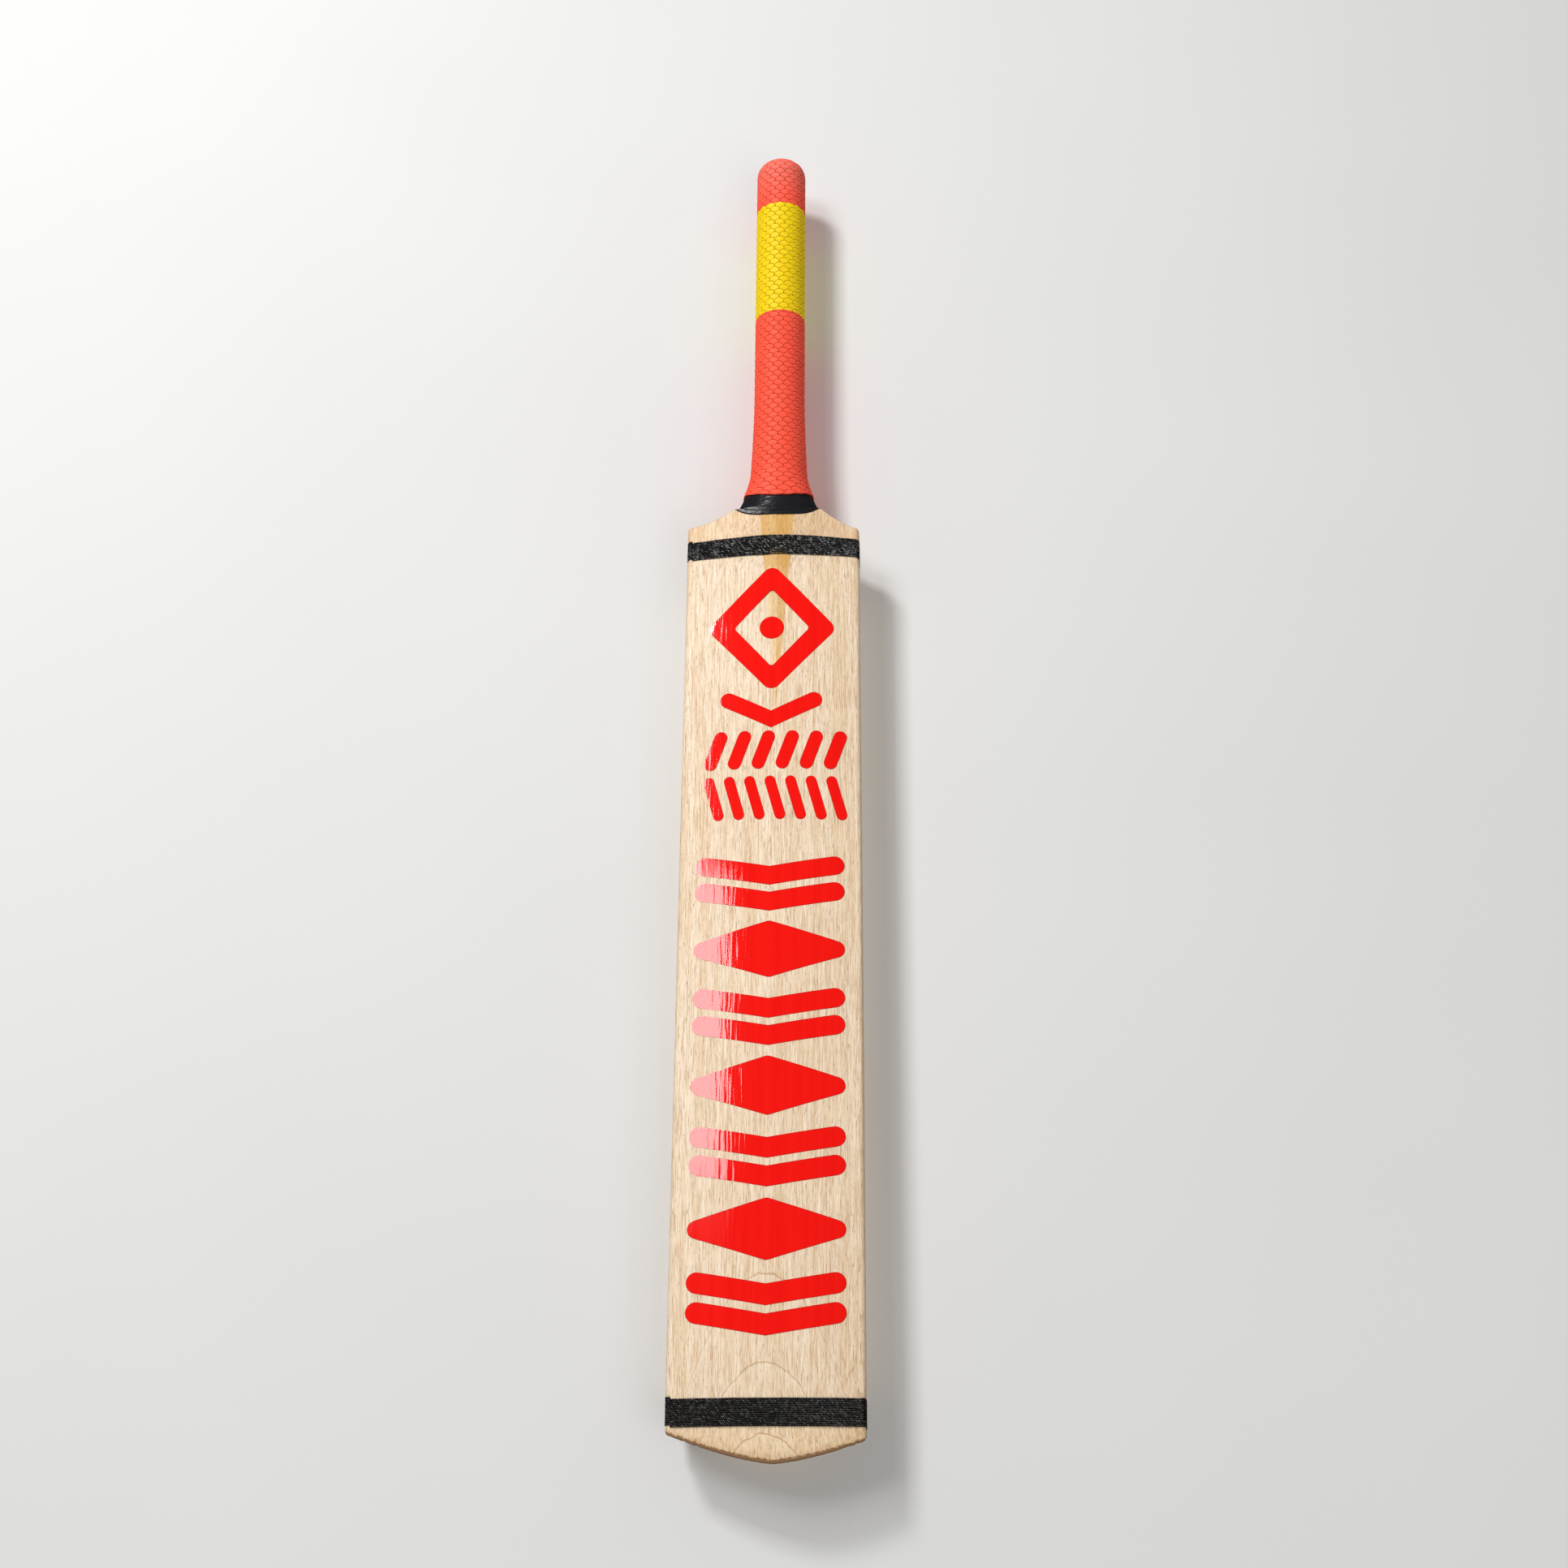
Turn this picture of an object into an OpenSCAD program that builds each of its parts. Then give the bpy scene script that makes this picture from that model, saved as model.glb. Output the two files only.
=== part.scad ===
// Cricket bat standing on its toe: +Z runs up the handle, the playing face looks along -Y.
// The origin is under the middle of the bat's overall box, at the level of the toe's tip.

/* [Blade] */
// Overall length from the toe's tip to the top of the handle
bat_length = 850; // [800:1:880]
// Width across the two parallel edges
blade_width = 108; // [100:0.5:108]
// Height of the shoulder corners above the toe's tip
shoulder_height = 563; // [555:1:570]
// How far the shoulders climb from their corners to the neck
shoulder_rise = 10; // [8:0.5:11]
// How far the left shoulder corner stands above that height, and the right one below it
shoulder_tilt = 1.4; // [0:0.1:2]
// Height of the toe's corners above its tip
toe_rise = 13; // [6:0.5:20]
// Sideways offset of the toe's tip from the blade's centre line
toe_offset = 4.5; // [0:0.5:8]
// How far the face falls back from its centre line to each edge
face_crown = 5.5; // [3:0.5:8]
// How far the face swells forward where it runs into the neck
neck_swell = 5.5; // [2:0.5:6]
// How far the face dips back at the toe's tip
toe_dip = 3; // [1:0.5:5]
// How much the toe's end climbs per millimetre towards the back
toe_slope = 0.12; // [0:0.02:0.2]
// Radius of the blade's long edges
edge_radius = 3; // [1:0.5:4]

/* [Back] */
// Height of the thickest point of the back
swell_height = 200; // [150:5:260]
// Depth of the spine behind the face at the toe
spine_toe = 28; // [24:1:32]
// Depth of the spine behind the face at the swell
spine_swell = 46; // [40:1:52]
// Depth of the spine behind the face at the neck
spine_neck = 33.6; // [32:0.2:35]
// Thickness of the edges at the toe
edge_toe = 22; // [16:1:26]
// Thickness of the edges at the swell
edge_swell = 30; // [22:1:32]
// Thickness of the edges at the shoulders
edge_neck = 17; // [14:1:20]

/* [Handle] */
// Radius of the grip on its straight part
grip_radius = 16; // [15:0.1:18]
// Wall of the rubber grip
grip_wall = 1.7; // [1.2:0.1:2]
// Thickness of the twine whipping under the grip
twine_thickness = 0.5; // [0.3:0.1:0.8]
// Sideways offset of the handle from the blade's centre line
handle_offset = 2.8; // [0:0.1:4]
// Depth of the handle's axis behind the middle of the face
handle_depth = 14; // [13:0.5:15]
// Height of the grip's lower end
grip_bottom = 588; // [586:1:592]
// Height of the lower end of the grip's middle band
band_bottom = 722; // [700:1:740]
// Height of the upper end of the grip's middle band
band_top = 808; // [790:1:820]
// Radius of the rounded end of the grip
grip_end_radius = 11; // [8:0.5:13]
// Height of the splice's point
splice_point = 433; // [420:1:445]
// Height where the splice reaches the handle's full width
splice_full = 609; // [600:1:615]
// Thickness of each rubber spring
spring_thickness = 1.6; // [1:0.1:2.5]

/* [Tape and bindings] */
// Thickness of the collar tape
tape_thickness = 1; // [0.5:0.1:1.5]
// Height of the tape's lower edge on the face and on the back
tape_bottom = 567; // [564:0.5:570]
// Height of the tape's lower edge at the sides
tape_bottom_side = 574; // [574:0.5:580]
// Thickness of the cord bindings
binding_thickness = 1.1; // [0.8:0.1:1.5]
// Width of the shoulder binding along the bat
shoulder_binding_width = 14; // [10:0.5:16]
// Height of the middle of the shoulder binding
shoulder_binding_height = 547.3; // [540:0.1:549]
// Width of the toe binding along the bat
toe_binding_width = 16; // [10:0.5:18]
// Height of the middle of the toe binding
toe_binding_height = 26.6; // [25:0.1:35]

/* [Decals] */
// Thickness of the vinyl
vinyl = 0.15; // [0.1:0.01:0.3]
// Length of each large mark across the face
mark_length = 88; // [70:1:92]
// Height of each large mark
mark_height = 34; // [24:0.5:36]
// Distance from one large mark to the next
mark_pitch = 40.2; // [38:0.1:42]
// Height of the middle of the lowest large mark
mark_first = 82.8; // [75:0.1:90]

/* [Hidden] */

half_width = blade_width / 2;
cane_radius = grip_radius - grip_wall - twine_thickness;
cane_top = bat_length - grip_wall - 0.2;
cane_end_radius = grip_end_radius - grip_wall;
straight_from = 660;      // the handle is a plain cylinder above this height
skirt_from = 607;         // the grip flares quickly below this height
flare_slow = 1.75;        // growth of the grip's radius between the two heights
flare_fast = 4.7;         // further growth from there to the grip's lower end
neck_half_width = 27.5;   // neck at the top of the shoulders
neck_half_depth = 19.6;
neck_fade = 0.12;         // half depth lost per millimetre below the shoulders
neck_top = 600;           // the neck is round from here up
shoulder_top = shoulder_height + shoulder_rise;
column = cane_radius / 2; // width of one cane, four across the handle
layer = (2 * cane_radius - 2 * spring_thickness) / 3;
gap = 0.02;               // clearance between parts that lie on each other
reach = 200;              // longer than anything it cuts
face_steps = 24;
slice_steps = 5;
thinnest = 0.15;          // canes and springs stop where they would get thinner than this
// Heights of the handle's level sections
handle_levels = [
    460, 490, splice_point + (splice_full - splice_point) / 2,
    each [528 : 6 : 570], shoulder_top, each [576 : 4 : 600], splice_full, 620, 640, straight_from,
    for (a = [0 : 15 : 75]) cane_top - cane_end_radius + cane_end_radius * sin(a)
];

// Middle of the overall box in depth: the grip's flared end in front, the spine behind
box_middle = (spine_swell + handle_depth - grip_radius - flare_slow - flare_fast) / 2;

wood = "burlywood";
cane = "tan";

// ---------- shape of the blade and neck ----------

function clamp01(t) = min(max(t, 0), 1);
function ease(t) = let (u = clamp01(t)) u * u * (3 - 2 * u);

// A depth that grows from the toe to the swell and shrinks again to the neck
function swell(z, toe, most, neck) =
    z < swell_height
        ? toe + (most - toe) * sin(90 * max(z, 0) / swell_height)
        : neck + (most - neck)
            * pow(cos(90 * clamp01((z - swell_height) / (shoulder_top - swell_height))), 2);

// One smooth hump across the blade: 1 on its centre, 0 at its edges
function hump(x) = (1 + cos(180 * min(abs(x) / half_width, 1))) / 2;

function face_y(x, z) =
    face_crown * pow(x / half_width, 2)
    - neck_swell * ease((z - 528) / 44) * hump(x - handle_offset)
    + toe_dip * pow(clamp01((60 - z) / 60), 2);

function back_y(x, z) = let (
        edge = face_crown + swell(z, edge_toe, edge_swell, edge_neck),
        spine = swell(z, spine_toe, spine_swell, spine_neck))
    edge + (spine - edge) * hump(x - handle_offset * ease((z - 300) / 260));

// Outer radius of the grip, and of the wood and cane under the grip and its twine
function grip_r(z) = grip_radius
    + flare_slow * pow(clamp01((straight_from - z) / (straight_from - skirt_from)), 1.4)
    + flare_fast * pow(clamp01((skirt_from - z) / (skirt_from - grip_bottom)), 1.6);
function core_r(z) = z > cane_top - cane_end_radius
    ? cane_radius - cane_end_radius
        + sqrt(max(pow(cane_end_radius, 2) - pow(z - cane_top + cane_end_radius, 2), 0))
    : grip_r(z) - grip_wall - twine_thickness;

// Half width and half depth of the neck: an oval at the shoulders, a circle from neck_top,
// and shallower inside the blade, where it runs out under the face and the back
function neck_blend(z) = clamp01((neck_top - z) / (neck_top - shoulder_top));
function neck_w(z) = z >= neck_top ? core_r(z)
    : core_r(neck_top) + (neck_half_width - core_r(neck_top)) * pow(neck_blend(z), 1.2);
function neck_d(z) = z >= neck_top ? core_r(z)
    : z > shoulder_top ? core_r(neck_top) + (neck_half_depth - core_r(neck_top)) * neck_blend(z)
    : neck_half_depth - neck_fade * (shoulder_top - z);

function oval_y(x, z) = let (u = clamp01(abs(x - handle_offset) / neck_w(z)))
    neck_d(z) * sqrt(1 - u * u);

// Outermost surface in front and behind, over the blade and the neck
function front_y(x, z) = z > shoulder_top ? handle_depth - oval_y(x, z)
    : min(face_y(x, z), handle_depth - oval_y(x, z));
function rear_y(x, z) = z > shoulder_top ? handle_depth + oval_y(x, z)
    : max(back_y(x, z), handle_depth + oval_y(x, z));

// ---------- meshes ----------

// A closed solid through rings of the same even number of points. Each flat end is a ladder of
// triangles between the first and the second half of its ring.
module loft(rings) {
    count = len(rings[0]);
    last = len(rings) - 1;
    top = last * count;
    polyhedron(
        points = [for (ring = rings) each ring],
        faces = concat(
            [for (i = [0 : count / 2 - 2]) let (j = count - 1 - i)
                each [[i, i + 1, j], [j, i + 1, j - 1]]],
            [for (i = [0 : count / 2 - 2]) let (a = top + i, b = top + count - 1 - i)
                each [[a, b, a + 1], [a + 1, b, b - 1]]],
            [for (i = [0 : last - 1], j = [0 : count - 1])
                let (a = i * count + j, b = i * count + (j + 1) % count)
                each [[a, a + count, b], [b, a + count, b + count]]]
        )
    );
}

// A closed ring with no ends: every section is the same loop of four points
module closed_ring(sections) {
    count = len(sections);
    polyhedron(
        points = [for (section = sections) each section],
        faces = [for (i = [0 : count - 1], j = [0 : 3])
            let (
                a = i * 4 + j, b = i * 4 + (j + 1) % 4,
                c = ((i + 1) % count) * 4 + j, d = ((i + 1) % count) * 4 + (j + 1) % 4)
            each [[a, b, c], [b, d, c]]]
    );
}

// Moves a part from the blade's own depth to the bat's frame
module placed() {
    translate([0, -box_middle, 0]) children();
}

// ---------- blade ----------

// One level section of the blade, grown outwards by g, clockwise seen from above
function blade_ring(z, g) = let (
        side = half_width - edge_radius,
        front = [for (i = [0 : face_steps]) let (x = side * (2 * i / face_steps - 1))
            [x, face_y(x, z) - g, z]],
        rear = [for (i = [face_steps : -1 : 0]) let (x = side * (2 * i / face_steps - 1))
            [x, back_y(x, z) + g, z]],
        front_mid = face_y(side, z) + edge_radius,
        rear_mid = back_y(side, z) - edge_radius,
        r = edge_radius + g)
    concat(
        front,
        [for (a = [30, 60, 90]) [side + r * sin(a), front_mid - r * cos(a), z]],
        [for (a = [90, 60, 30]) [side + r * sin(a), rear_mid + r * cos(a), z]],
        rear,
        [for (a = [30, 60, 90]) [-side - r * sin(a), rear_mid + r * cos(a), z]],
        [for (a = [90, 60, 30]) [-side - r * sin(a), front_mid - r * cos(a), z]]
    );

function toe_z(x) = toe_rise * pow(abs(x - toe_offset) / half_width, 1.45);

// Shoulder line from a corner (t = 0) to the neck (t = 1); side is 1 on the right, -1 on the left
function shoulder_point(t, side) = [
    side * (half_width - t * (half_width - neck_half_width)) + t * handle_offset,
    shoulder_height - side * shoulder_tilt * (1 - t) + shoulder_rise * pow(t, 1.65)
];

module blade_outline() {
    offset(r = 1.5) offset(delta = -1.5) polygon(concat(
        [[-half_width, -toe_rise], [half_width, -toe_rise]],
        [for (t = [0 : 0.1 : 1]) shoulder_point(t, 1)],
        [for (t = [1 : -0.1 : 0]) shoulder_point(t, -1)]
    ));
}

// Everything above the toe's end, which climbs towards the back
module above_toe() {
    wide = half_width * 13 / 12;
    multmatrix([[1, 0, 0, 0], [0, 1, 0, 0], [0, toe_slope, 1, -toe_slope * toe_dip], [0, 0, 0, 1]])
        translate([0, reach / 2, 0]) rotate([90, 0, 0]) linear_extrude(reach)
            polygon(concat(
                [for (i = [-1 : face_steps + 1]) let (x = half_width * (2 * i / face_steps - 1))
                    [x, toe_z(x)]],
                [[wide, bat_length], [-wide, bat_length]]
            ));
}

module splice_slot() {
    translate([handle_offset, reach / 2, 0]) rotate([90, 0, 0]) linear_extrude(reach)
        polygon([
            [0, splice_point],
            [cane_radius, splice_full],
            [cane_radius, straight_from + 1],
            [-cane_radius, straight_from + 1],
            [-cane_radius, splice_full]
        ]);
}

function neck_ring(z) = [for (a = [0 : 15 : 345])
    [handle_offset + neck_w(z) * sin(a), handle_depth - neck_d(z) * cos(a), z]];

module blade() {
    levels = [-1, 10, 20, 30, 40, 60, each [80 : 40 : 520], each [528 : 6 : 570], 580];
    color(wood) placed() difference() {
        union() {
            intersection() {
                loft([for (z = levels) blade_ring(z, 0)]);
                translate([0, reach / 2, 0]) rotate([90, 0, 0]) linear_extrude(reach)
                    blade_outline();
                above_toe();
            }
            loft([for (z = [560, shoulder_top, 576, 580, 584, 588, 592, 596, 600, 607, 620, 640, 658])
                neck_ring(z)]);
        }
        splice_slot();
    }
}

// ---------- handle ----------

function splice_half(z) =
    cane_radius * clamp01((z - splice_point) / (splice_full - splice_point));

// Half width of the handle at height z, as far out as its surface is still depth away from
// the plane through its axis
function handle_half(z, depth) = z <= shoulder_top ? splice_half(z)
    : min(splice_half(z), neck_w(z) * sqrt(max(1 - pow(depth / neck_d(z), 2), 0)));

// Height in the rounded end where the handle's radius has shrunk to r
function end_height(r) = r <= cane_radius - cane_end_radius ? cane_top
    : cane_top - cane_end_radius
        + sqrt(pow(cane_end_radius, 2) - pow(r - cane_radius + cane_end_radius, 2));

// Height where the handle's lower end becomes wider than half_span each way
function start_height(half_span) =
    splice_point + (splice_full - splice_point) * half_span / cane_radius;

// Level section between two sides and two depths, all counted from the handle's axis
function slice_ring(z, left, right, front, back) = let (
        xs = [for (i = [0 : slice_steps]) handle_offset + left + (right - left) * i / slice_steps])
    concat(
        [for (x = xs) [x, max(front_y(x, z), handle_depth + front), z]],
        [for (i = [slice_steps : -1 : 0])
            [xs[i], min(rear_y(xs[i], z), handle_depth + back), z]]
    );

// Part of the handle between two sides and two depths; near is the distance from the axis
// to the nearer of the two depths, inner the distance to the nearer side
module handle_slice(left, right, front, back, near, inner) {
    low = start_height(inner + thinnest);
    high = end_height(norm([inner + thinnest, near + thinnest]));
    levels = concat([low],
        [for (z = handle_levels) if (z > low + thinnest && z < high - thinnest) z], [high]);
    placed() loft([for (z = levels) let (half = handle_half(z, near + thinnest / 2))
        slice_ring(z, max(left, -half), min(right, half), front, back)]);
}

// Canes are numbered from the left of the face; row 0 is the face side, 2 the back
module cane_strip(row, number) {
    left = number == 1 ? -reach : (number - 3) * column;
    right = number == 4 ? reach : (number - 2) * column;
    front = [-reach, -layer / 2, layer / 2 + spring_thickness][row];
    back = [-layer / 2 - spring_thickness, layer / 2, reach][row];
    near = row == 1 ? 0 : layer / 2 + spring_thickness;
    inner = number == 1 || number == 4 ? column : 0;
    color(cane) handle_slice(left, right, front, back, near, inner);
}

module rubber_spring(side) {
    middle = side * (layer + spring_thickness) / 2;
    color("dimgray") handle_slice(-reach, reach,
        middle - spring_thickness / 2, middle + spring_thickness / 2, layer / 2, 0);
}

// Half section of a round bar whose upper end is rounded
module handle_end(r, bottom, top, end_r) {
    polygon(concat(
        [[0, bottom], [r, bottom]],
        [for (a = [0 : 10 : 90]) [r - end_r + end_r * cos(a), top - end_r + end_r * sin(a)]],
        [[0, top]]
    ));
}

// Half section of a sleeve on the handle's axis, following a radius function of height
module sleeve_section(levels, outer, inner) {
    polygon(concat(
        [for (z = levels) [outer(z), z]],
        [for (i = [len(levels) - 1 : -1 : 0]) [inner(levels[i]), levels[i]]]
    ));
}

module on_handle() {
    placed() translate([handle_offset, handle_depth, 0]) rotate_extrude($fn = 64) children();
}

flare_levels = [600, 604, 607, 612, 620, 630, 640, 650, straight_from];

module handle_twine() {
    color("ivory") on_handle() sleeve_section(
        concat([neck_top + 1], [for (z = flare_levels) if (z > neck_top + 1) z], [830]),
        function (z) core_r(z) + twine_thickness,
        function (z) core_r(z) + gap);
}

module grip_section(levels) {
    sleeve_section(levels,
        function (z) grip_r(z),
        function (z) grip_r(z) - grip_wall + gap);
}

module grip_lower() {
    color("orangered") on_handle()
        grip_section(concat([grip_bottom, 591, 594, 597], flare_levels, [band_bottom]));
}

module grip_band() {
    color("gold") on_handle() grip_section([band_bottom, band_top]);
}

module grip_top() {
    color("orangered") on_handle() difference() {
        handle_end(grip_radius, band_top, bat_length, grip_end_radius);
        translate([0, -1]) handle_end(grip_radius - grip_wall + gap, band_top,
            bat_length - grip_wall + 1, grip_end_radius - grip_wall);
    }
}

// ---------- tape and bindings ----------

// Point of the tape's surface at angle a round the neck, at height z, grown outwards by g
function tape_point(a, z, g) = let (
        x = handle_offset + (neck_w(z) + g) * sin(a),
        inner_x = handle_offset + neck_w(z) * sin(a))
    [x, cos(a) >= 0 ? front_y(inner_x, z) - g * cos(a) : rear_y(inner_x, z) - g * cos(a), z];

module collar_tape() {
    color("black") placed() closed_ring([for (a = [0 : 10 : 350]) let (
            low = tape_bottom + (tape_bottom_side - tape_bottom) * pow(sin(a), 4),
            high = grip_bottom - gap)
        [
            tape_point(a, low, tape_thickness), tape_point(a, high, tape_thickness),
            tape_point(a, high, gap), tape_point(a, low, gap)
        ]]);
}

module binding(middle, width) {
    low = middle - width / 2;
    high = middle + width / 2;
    outer_low = blade_ring(low, binding_thickness);
    outer_high = blade_ring(high, binding_thickness);
    inner_high = blade_ring(high, gap);
    inner_low = blade_ring(low, gap);
    color("black") placed() closed_ring([for (i = [len(outer_low) - 1 : -1 : 0])
        [outer_low[i], outer_high[i], inner_high[i], inner_low[i]]]);
}

module shoulder_binding() {
    binding(shoulder_binding_height, shoulder_binding_width);
}

module toe_binding() {
    binding(toe_binding_height, toe_binding_width);
}

// ---------- decals ----------

// Thin sheet lying on the face between two heights
module face_sheet(low, high, steps) {
    xs = [for (i = [0 : face_steps]) half_width * 0.9 * (2 * i / face_steps - 1)];
    loft([for (s = [0 : steps]) let (z = low + (high - low) * s / steps) concat(
        [for (x = xs) [x, face_y(x, z) - gap - vinyl, z]],
        [for (i = [face_steps : -1 : 0]) [xs[i], face_y(xs[i], z) - gap, z]])]);
}

// Cuts flat outlines, drawn in X and Z, out of the sheet
module vinyl_cut(low, high, steps) {
    color("red") placed() intersection() {
        face_sheet(low, high, steps);
        translate([0, reach / 2, 0]) rotate([90, 0, 0]) linear_extrude(reach) children();
    }
}

// Bar with round ends from one point to another
module bar(from, to, width) {
    angle = atan2(to[1] - from[1], to[0] - from[0]);
    translate(from) circle(d = width, $fn = 24);
    translate(to) circle(d = width, $fn = 24);
    translate(from) rotate(angle) translate([0, -width / 2]) square([norm(to - from), width]);
}

// Chevron pointing to the toe, its arms reaching out to each side
module chevron(length, drop, stroke) {
    arm = (length - stroke) / 2;
    bar([-arm, drop / 2], [0, -drop / 2], stroke);
    bar([0, -drop / 2], [arm, drop / 2], stroke);
}

// Diamond with rounded corners
module lozenge(length, height, corner) {
    w = length / 2 - corner;
    h = height / 2 - corner;
    hull() {
        for (p = [[w, 0], [0, h], [-w, 0], [0, -h]])
            translate(p) circle(corner, $fn = 32);
    }
}

module decal_chevrons() {
    stroke = 11.5;
    drop = mark_height - 2 * stroke - 4.5;
    low = mark_first - mark_height;
    high = mark_first + 6 * mark_pitch + mark_height;
    vinyl_cut(low, high, 1) for (i = [0 : 2 : 6], s = [-1, 1])
        translate([0, mark_first + i * mark_pitch + s * (stroke + 4.5) / 2])
            chevron(mark_length, drop, stroke);
}

module decal_lozenges() {
    low = mark_first;
    high = mark_first + 6 * mark_pitch;
    vinyl_cut(low, high, 1) for (i = [1 : 2 : 5])
        translate([0, mark_first + i * mark_pitch]) lozenge(mark_length, mark_height, 5);
}

// Row of leaning strokes; count of them spread over a width
module slashes(count, width, height, stroke, lean) {
    pitch = (width - stroke - lean) / (count - 1);
    for (i = [0 : count - 1]) let (x = (i - (count - 1) / 2) * pitch)
        bar([x - lean / 2, (stroke - height) / 2], [x + lean / 2, (height - stroke) / 2], stroke);
}

module decal_slashes_upper() {
    vinyl_cut(390, 430, 1) translate([handle_offset, 409]) slashes(6, 86, 25, 8, 6);
}

module decal_slashes_lower() {
    vinyl_cut(355, 400, 1) translate([handle_offset, 378]) mirror([1, 0])
        slashes(7, 86, 28, 6.5, 6);
}

module decal_emblem() {
    frame_length = 76;
    frame_height = 82;
    frame_middle = 490.5;
    inset = 31;
    vinyl_cut(415, 534, 10) {
        translate([0, frame_middle]) {
            difference() {
                lozenge(frame_length, frame_height, 6);
                lozenge(frame_length - inset, frame_height - inset, 2);
            }
            circle(d = 15, $fn = 48);
        }
        translate([0, 435.5]) chevron(62, 13, 10);
    }
}

blade();
cane_strip(0, 1);  // cane_front_1
cane_strip(0, 2);  // cane_front_2
cane_strip(0, 3);  // cane_front_3
cane_strip(0, 4);  // cane_front_4
cane_strip(1, 1);  // cane_middle_1
cane_strip(1, 2);  // cane_middle_2
cane_strip(1, 3);  // cane_middle_3
cane_strip(1, 4);  // cane_middle_4
cane_strip(2, 1);  // cane_back_1
cane_strip(2, 2);  // cane_back_2
cane_strip(2, 3);  // cane_back_3
cane_strip(2, 4);  // cane_back_4
rubber_spring(-1);  // rubber_front
rubber_spring(1);  // rubber_back
handle_twine();
grip_top();
grip_band();
grip_lower();
collar_tape();
shoulder_binding();
toe_binding();
decal_emblem();
decal_slashes_upper();
decal_slashes_lower();
decal_chevrons();
decal_lozenges();
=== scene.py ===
import math

import bmesh
import bpy
import numpy as np
from mathutils import Matrix, Vector

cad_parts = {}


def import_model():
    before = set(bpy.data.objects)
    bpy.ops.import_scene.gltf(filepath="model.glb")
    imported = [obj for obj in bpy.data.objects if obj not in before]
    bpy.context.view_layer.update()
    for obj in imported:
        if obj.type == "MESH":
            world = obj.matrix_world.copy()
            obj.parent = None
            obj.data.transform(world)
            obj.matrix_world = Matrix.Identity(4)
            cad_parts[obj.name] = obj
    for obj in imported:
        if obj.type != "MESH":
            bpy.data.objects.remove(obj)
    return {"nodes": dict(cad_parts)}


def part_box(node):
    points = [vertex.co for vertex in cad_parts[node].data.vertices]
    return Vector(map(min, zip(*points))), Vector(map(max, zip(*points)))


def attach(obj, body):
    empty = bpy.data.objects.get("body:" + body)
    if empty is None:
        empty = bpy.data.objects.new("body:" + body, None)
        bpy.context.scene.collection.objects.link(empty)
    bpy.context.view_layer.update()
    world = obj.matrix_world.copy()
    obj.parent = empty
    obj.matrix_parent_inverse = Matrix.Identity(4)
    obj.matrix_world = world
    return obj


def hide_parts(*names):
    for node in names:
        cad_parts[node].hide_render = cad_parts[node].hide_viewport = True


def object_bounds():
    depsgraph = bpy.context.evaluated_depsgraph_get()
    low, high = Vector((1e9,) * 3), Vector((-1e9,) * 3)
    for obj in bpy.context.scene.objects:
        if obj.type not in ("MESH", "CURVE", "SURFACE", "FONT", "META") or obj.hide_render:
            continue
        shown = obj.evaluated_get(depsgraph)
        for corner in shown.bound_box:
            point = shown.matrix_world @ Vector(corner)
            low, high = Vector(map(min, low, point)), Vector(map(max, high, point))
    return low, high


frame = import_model()
cad_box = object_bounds()

# Lengths are in millimetres until a mesh is made; depth (y) is counted from the middle of the face.
MM = 0.001


def box_mm(node):
    """Lowest and highest corner of a CAD node, in millimetres."""
    low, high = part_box(node)
    return np.array(low) / MM, np.array(high) / MM


# ---------- sizes, from the frame and a few shape values of the bat ----------

BLADE_LOW, BLADE_HIGH = box_mm("blade")
BAND_LOW, BAND_HIGH = box_mm("grip_band")
GRIP_LOW = box_mm("grip_lower")[0]
GRIP_TOP = box_mm("grip_top")[1]

HANDLE_DEPTH = 14.0           # handle's axis behind the middle of the face
FACE_PLANE = (BAND_LOW[1] + BAND_HIGH[1]) / 2 - HANDLE_DEPTH
HANDLE_X = (BAND_LOW[0] + BAND_HIGH[0]) / 2
HALF_WIDTH = (BLADE_HIGH[0] - BLADE_LOW[0]) / 2
GRIP_RADIUS = (BAND_HIGH[0] - BAND_LOW[0]) / 2
GRIP_BOTTOM = GRIP_LOW[2]
BAT_LENGTH = GRIP_TOP[2]

SHOULDER_HEIGHT = 563.0
SHOULDER_RISE = 10.0
SHOULDER_TILT = 1.4
SHOULDER_TOP = SHOULDER_HEIGHT + SHOULDER_RISE
SHOULDER_POWER = 1.65
TOE_RISE = 13.0
TOE_OFFSET = 4.5
TOE_POWER = 1.45
TOE_SLOPE = 0.12              # climb of the toe's end per millimetre towards the back
TOE_DIP = 3.0
TOE_DIP_HEIGHT = 60.0
FACE_CROWN = 5.5
NECK_SWELL = 5.5
NECK_SWELL_FROM = 528.0
NECK_SWELL_RUN = 44.0
EDGE_RADIUS = 3.0
SWELL_HEIGHT = 200.0
SPINE = (28.0, 46.0, 33.6)    # depth of the spine at toe, swell and neck
EDGE = (22.0, 30.0, 17.0)     # thickness of the edges at toe, swell and neck
SPINE_SHIFT_FROM = 300.0      # the spine moves over to the handle's axis from here
SPINE_SHIFT_RUN = 260.0
GRIP_WALL = 1.7
TWINE = 0.5
CANE_RADIUS = GRIP_RADIUS - GRIP_WALL - TWINE
STRAIGHT_FROM = 660.0
SKIRT_FROM = 607.0
FLARE_SLOW = 1.75             # growth of the grip's radius down to the skirt
FLARE_FAST = 4.7              # further growth down the skirt
NECK_HALF_WIDTH = 27.5
NECK_HALF_DEPTH = 19.6
NECK_FADE = 0.12              # loss of the neck's depth per millimetre below the shoulder
NECK_TOP = 600.0
SPLICE_POINT = 433.0
SPLICE_FULL = 609.0
GAP = 0.02                    # air between two pieces that touch


# ---------- shape of the bat, the same formulas as the CAD source ----------

def clamp01(t):
    return np.clip(t, 0.0, 1.0)


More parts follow.
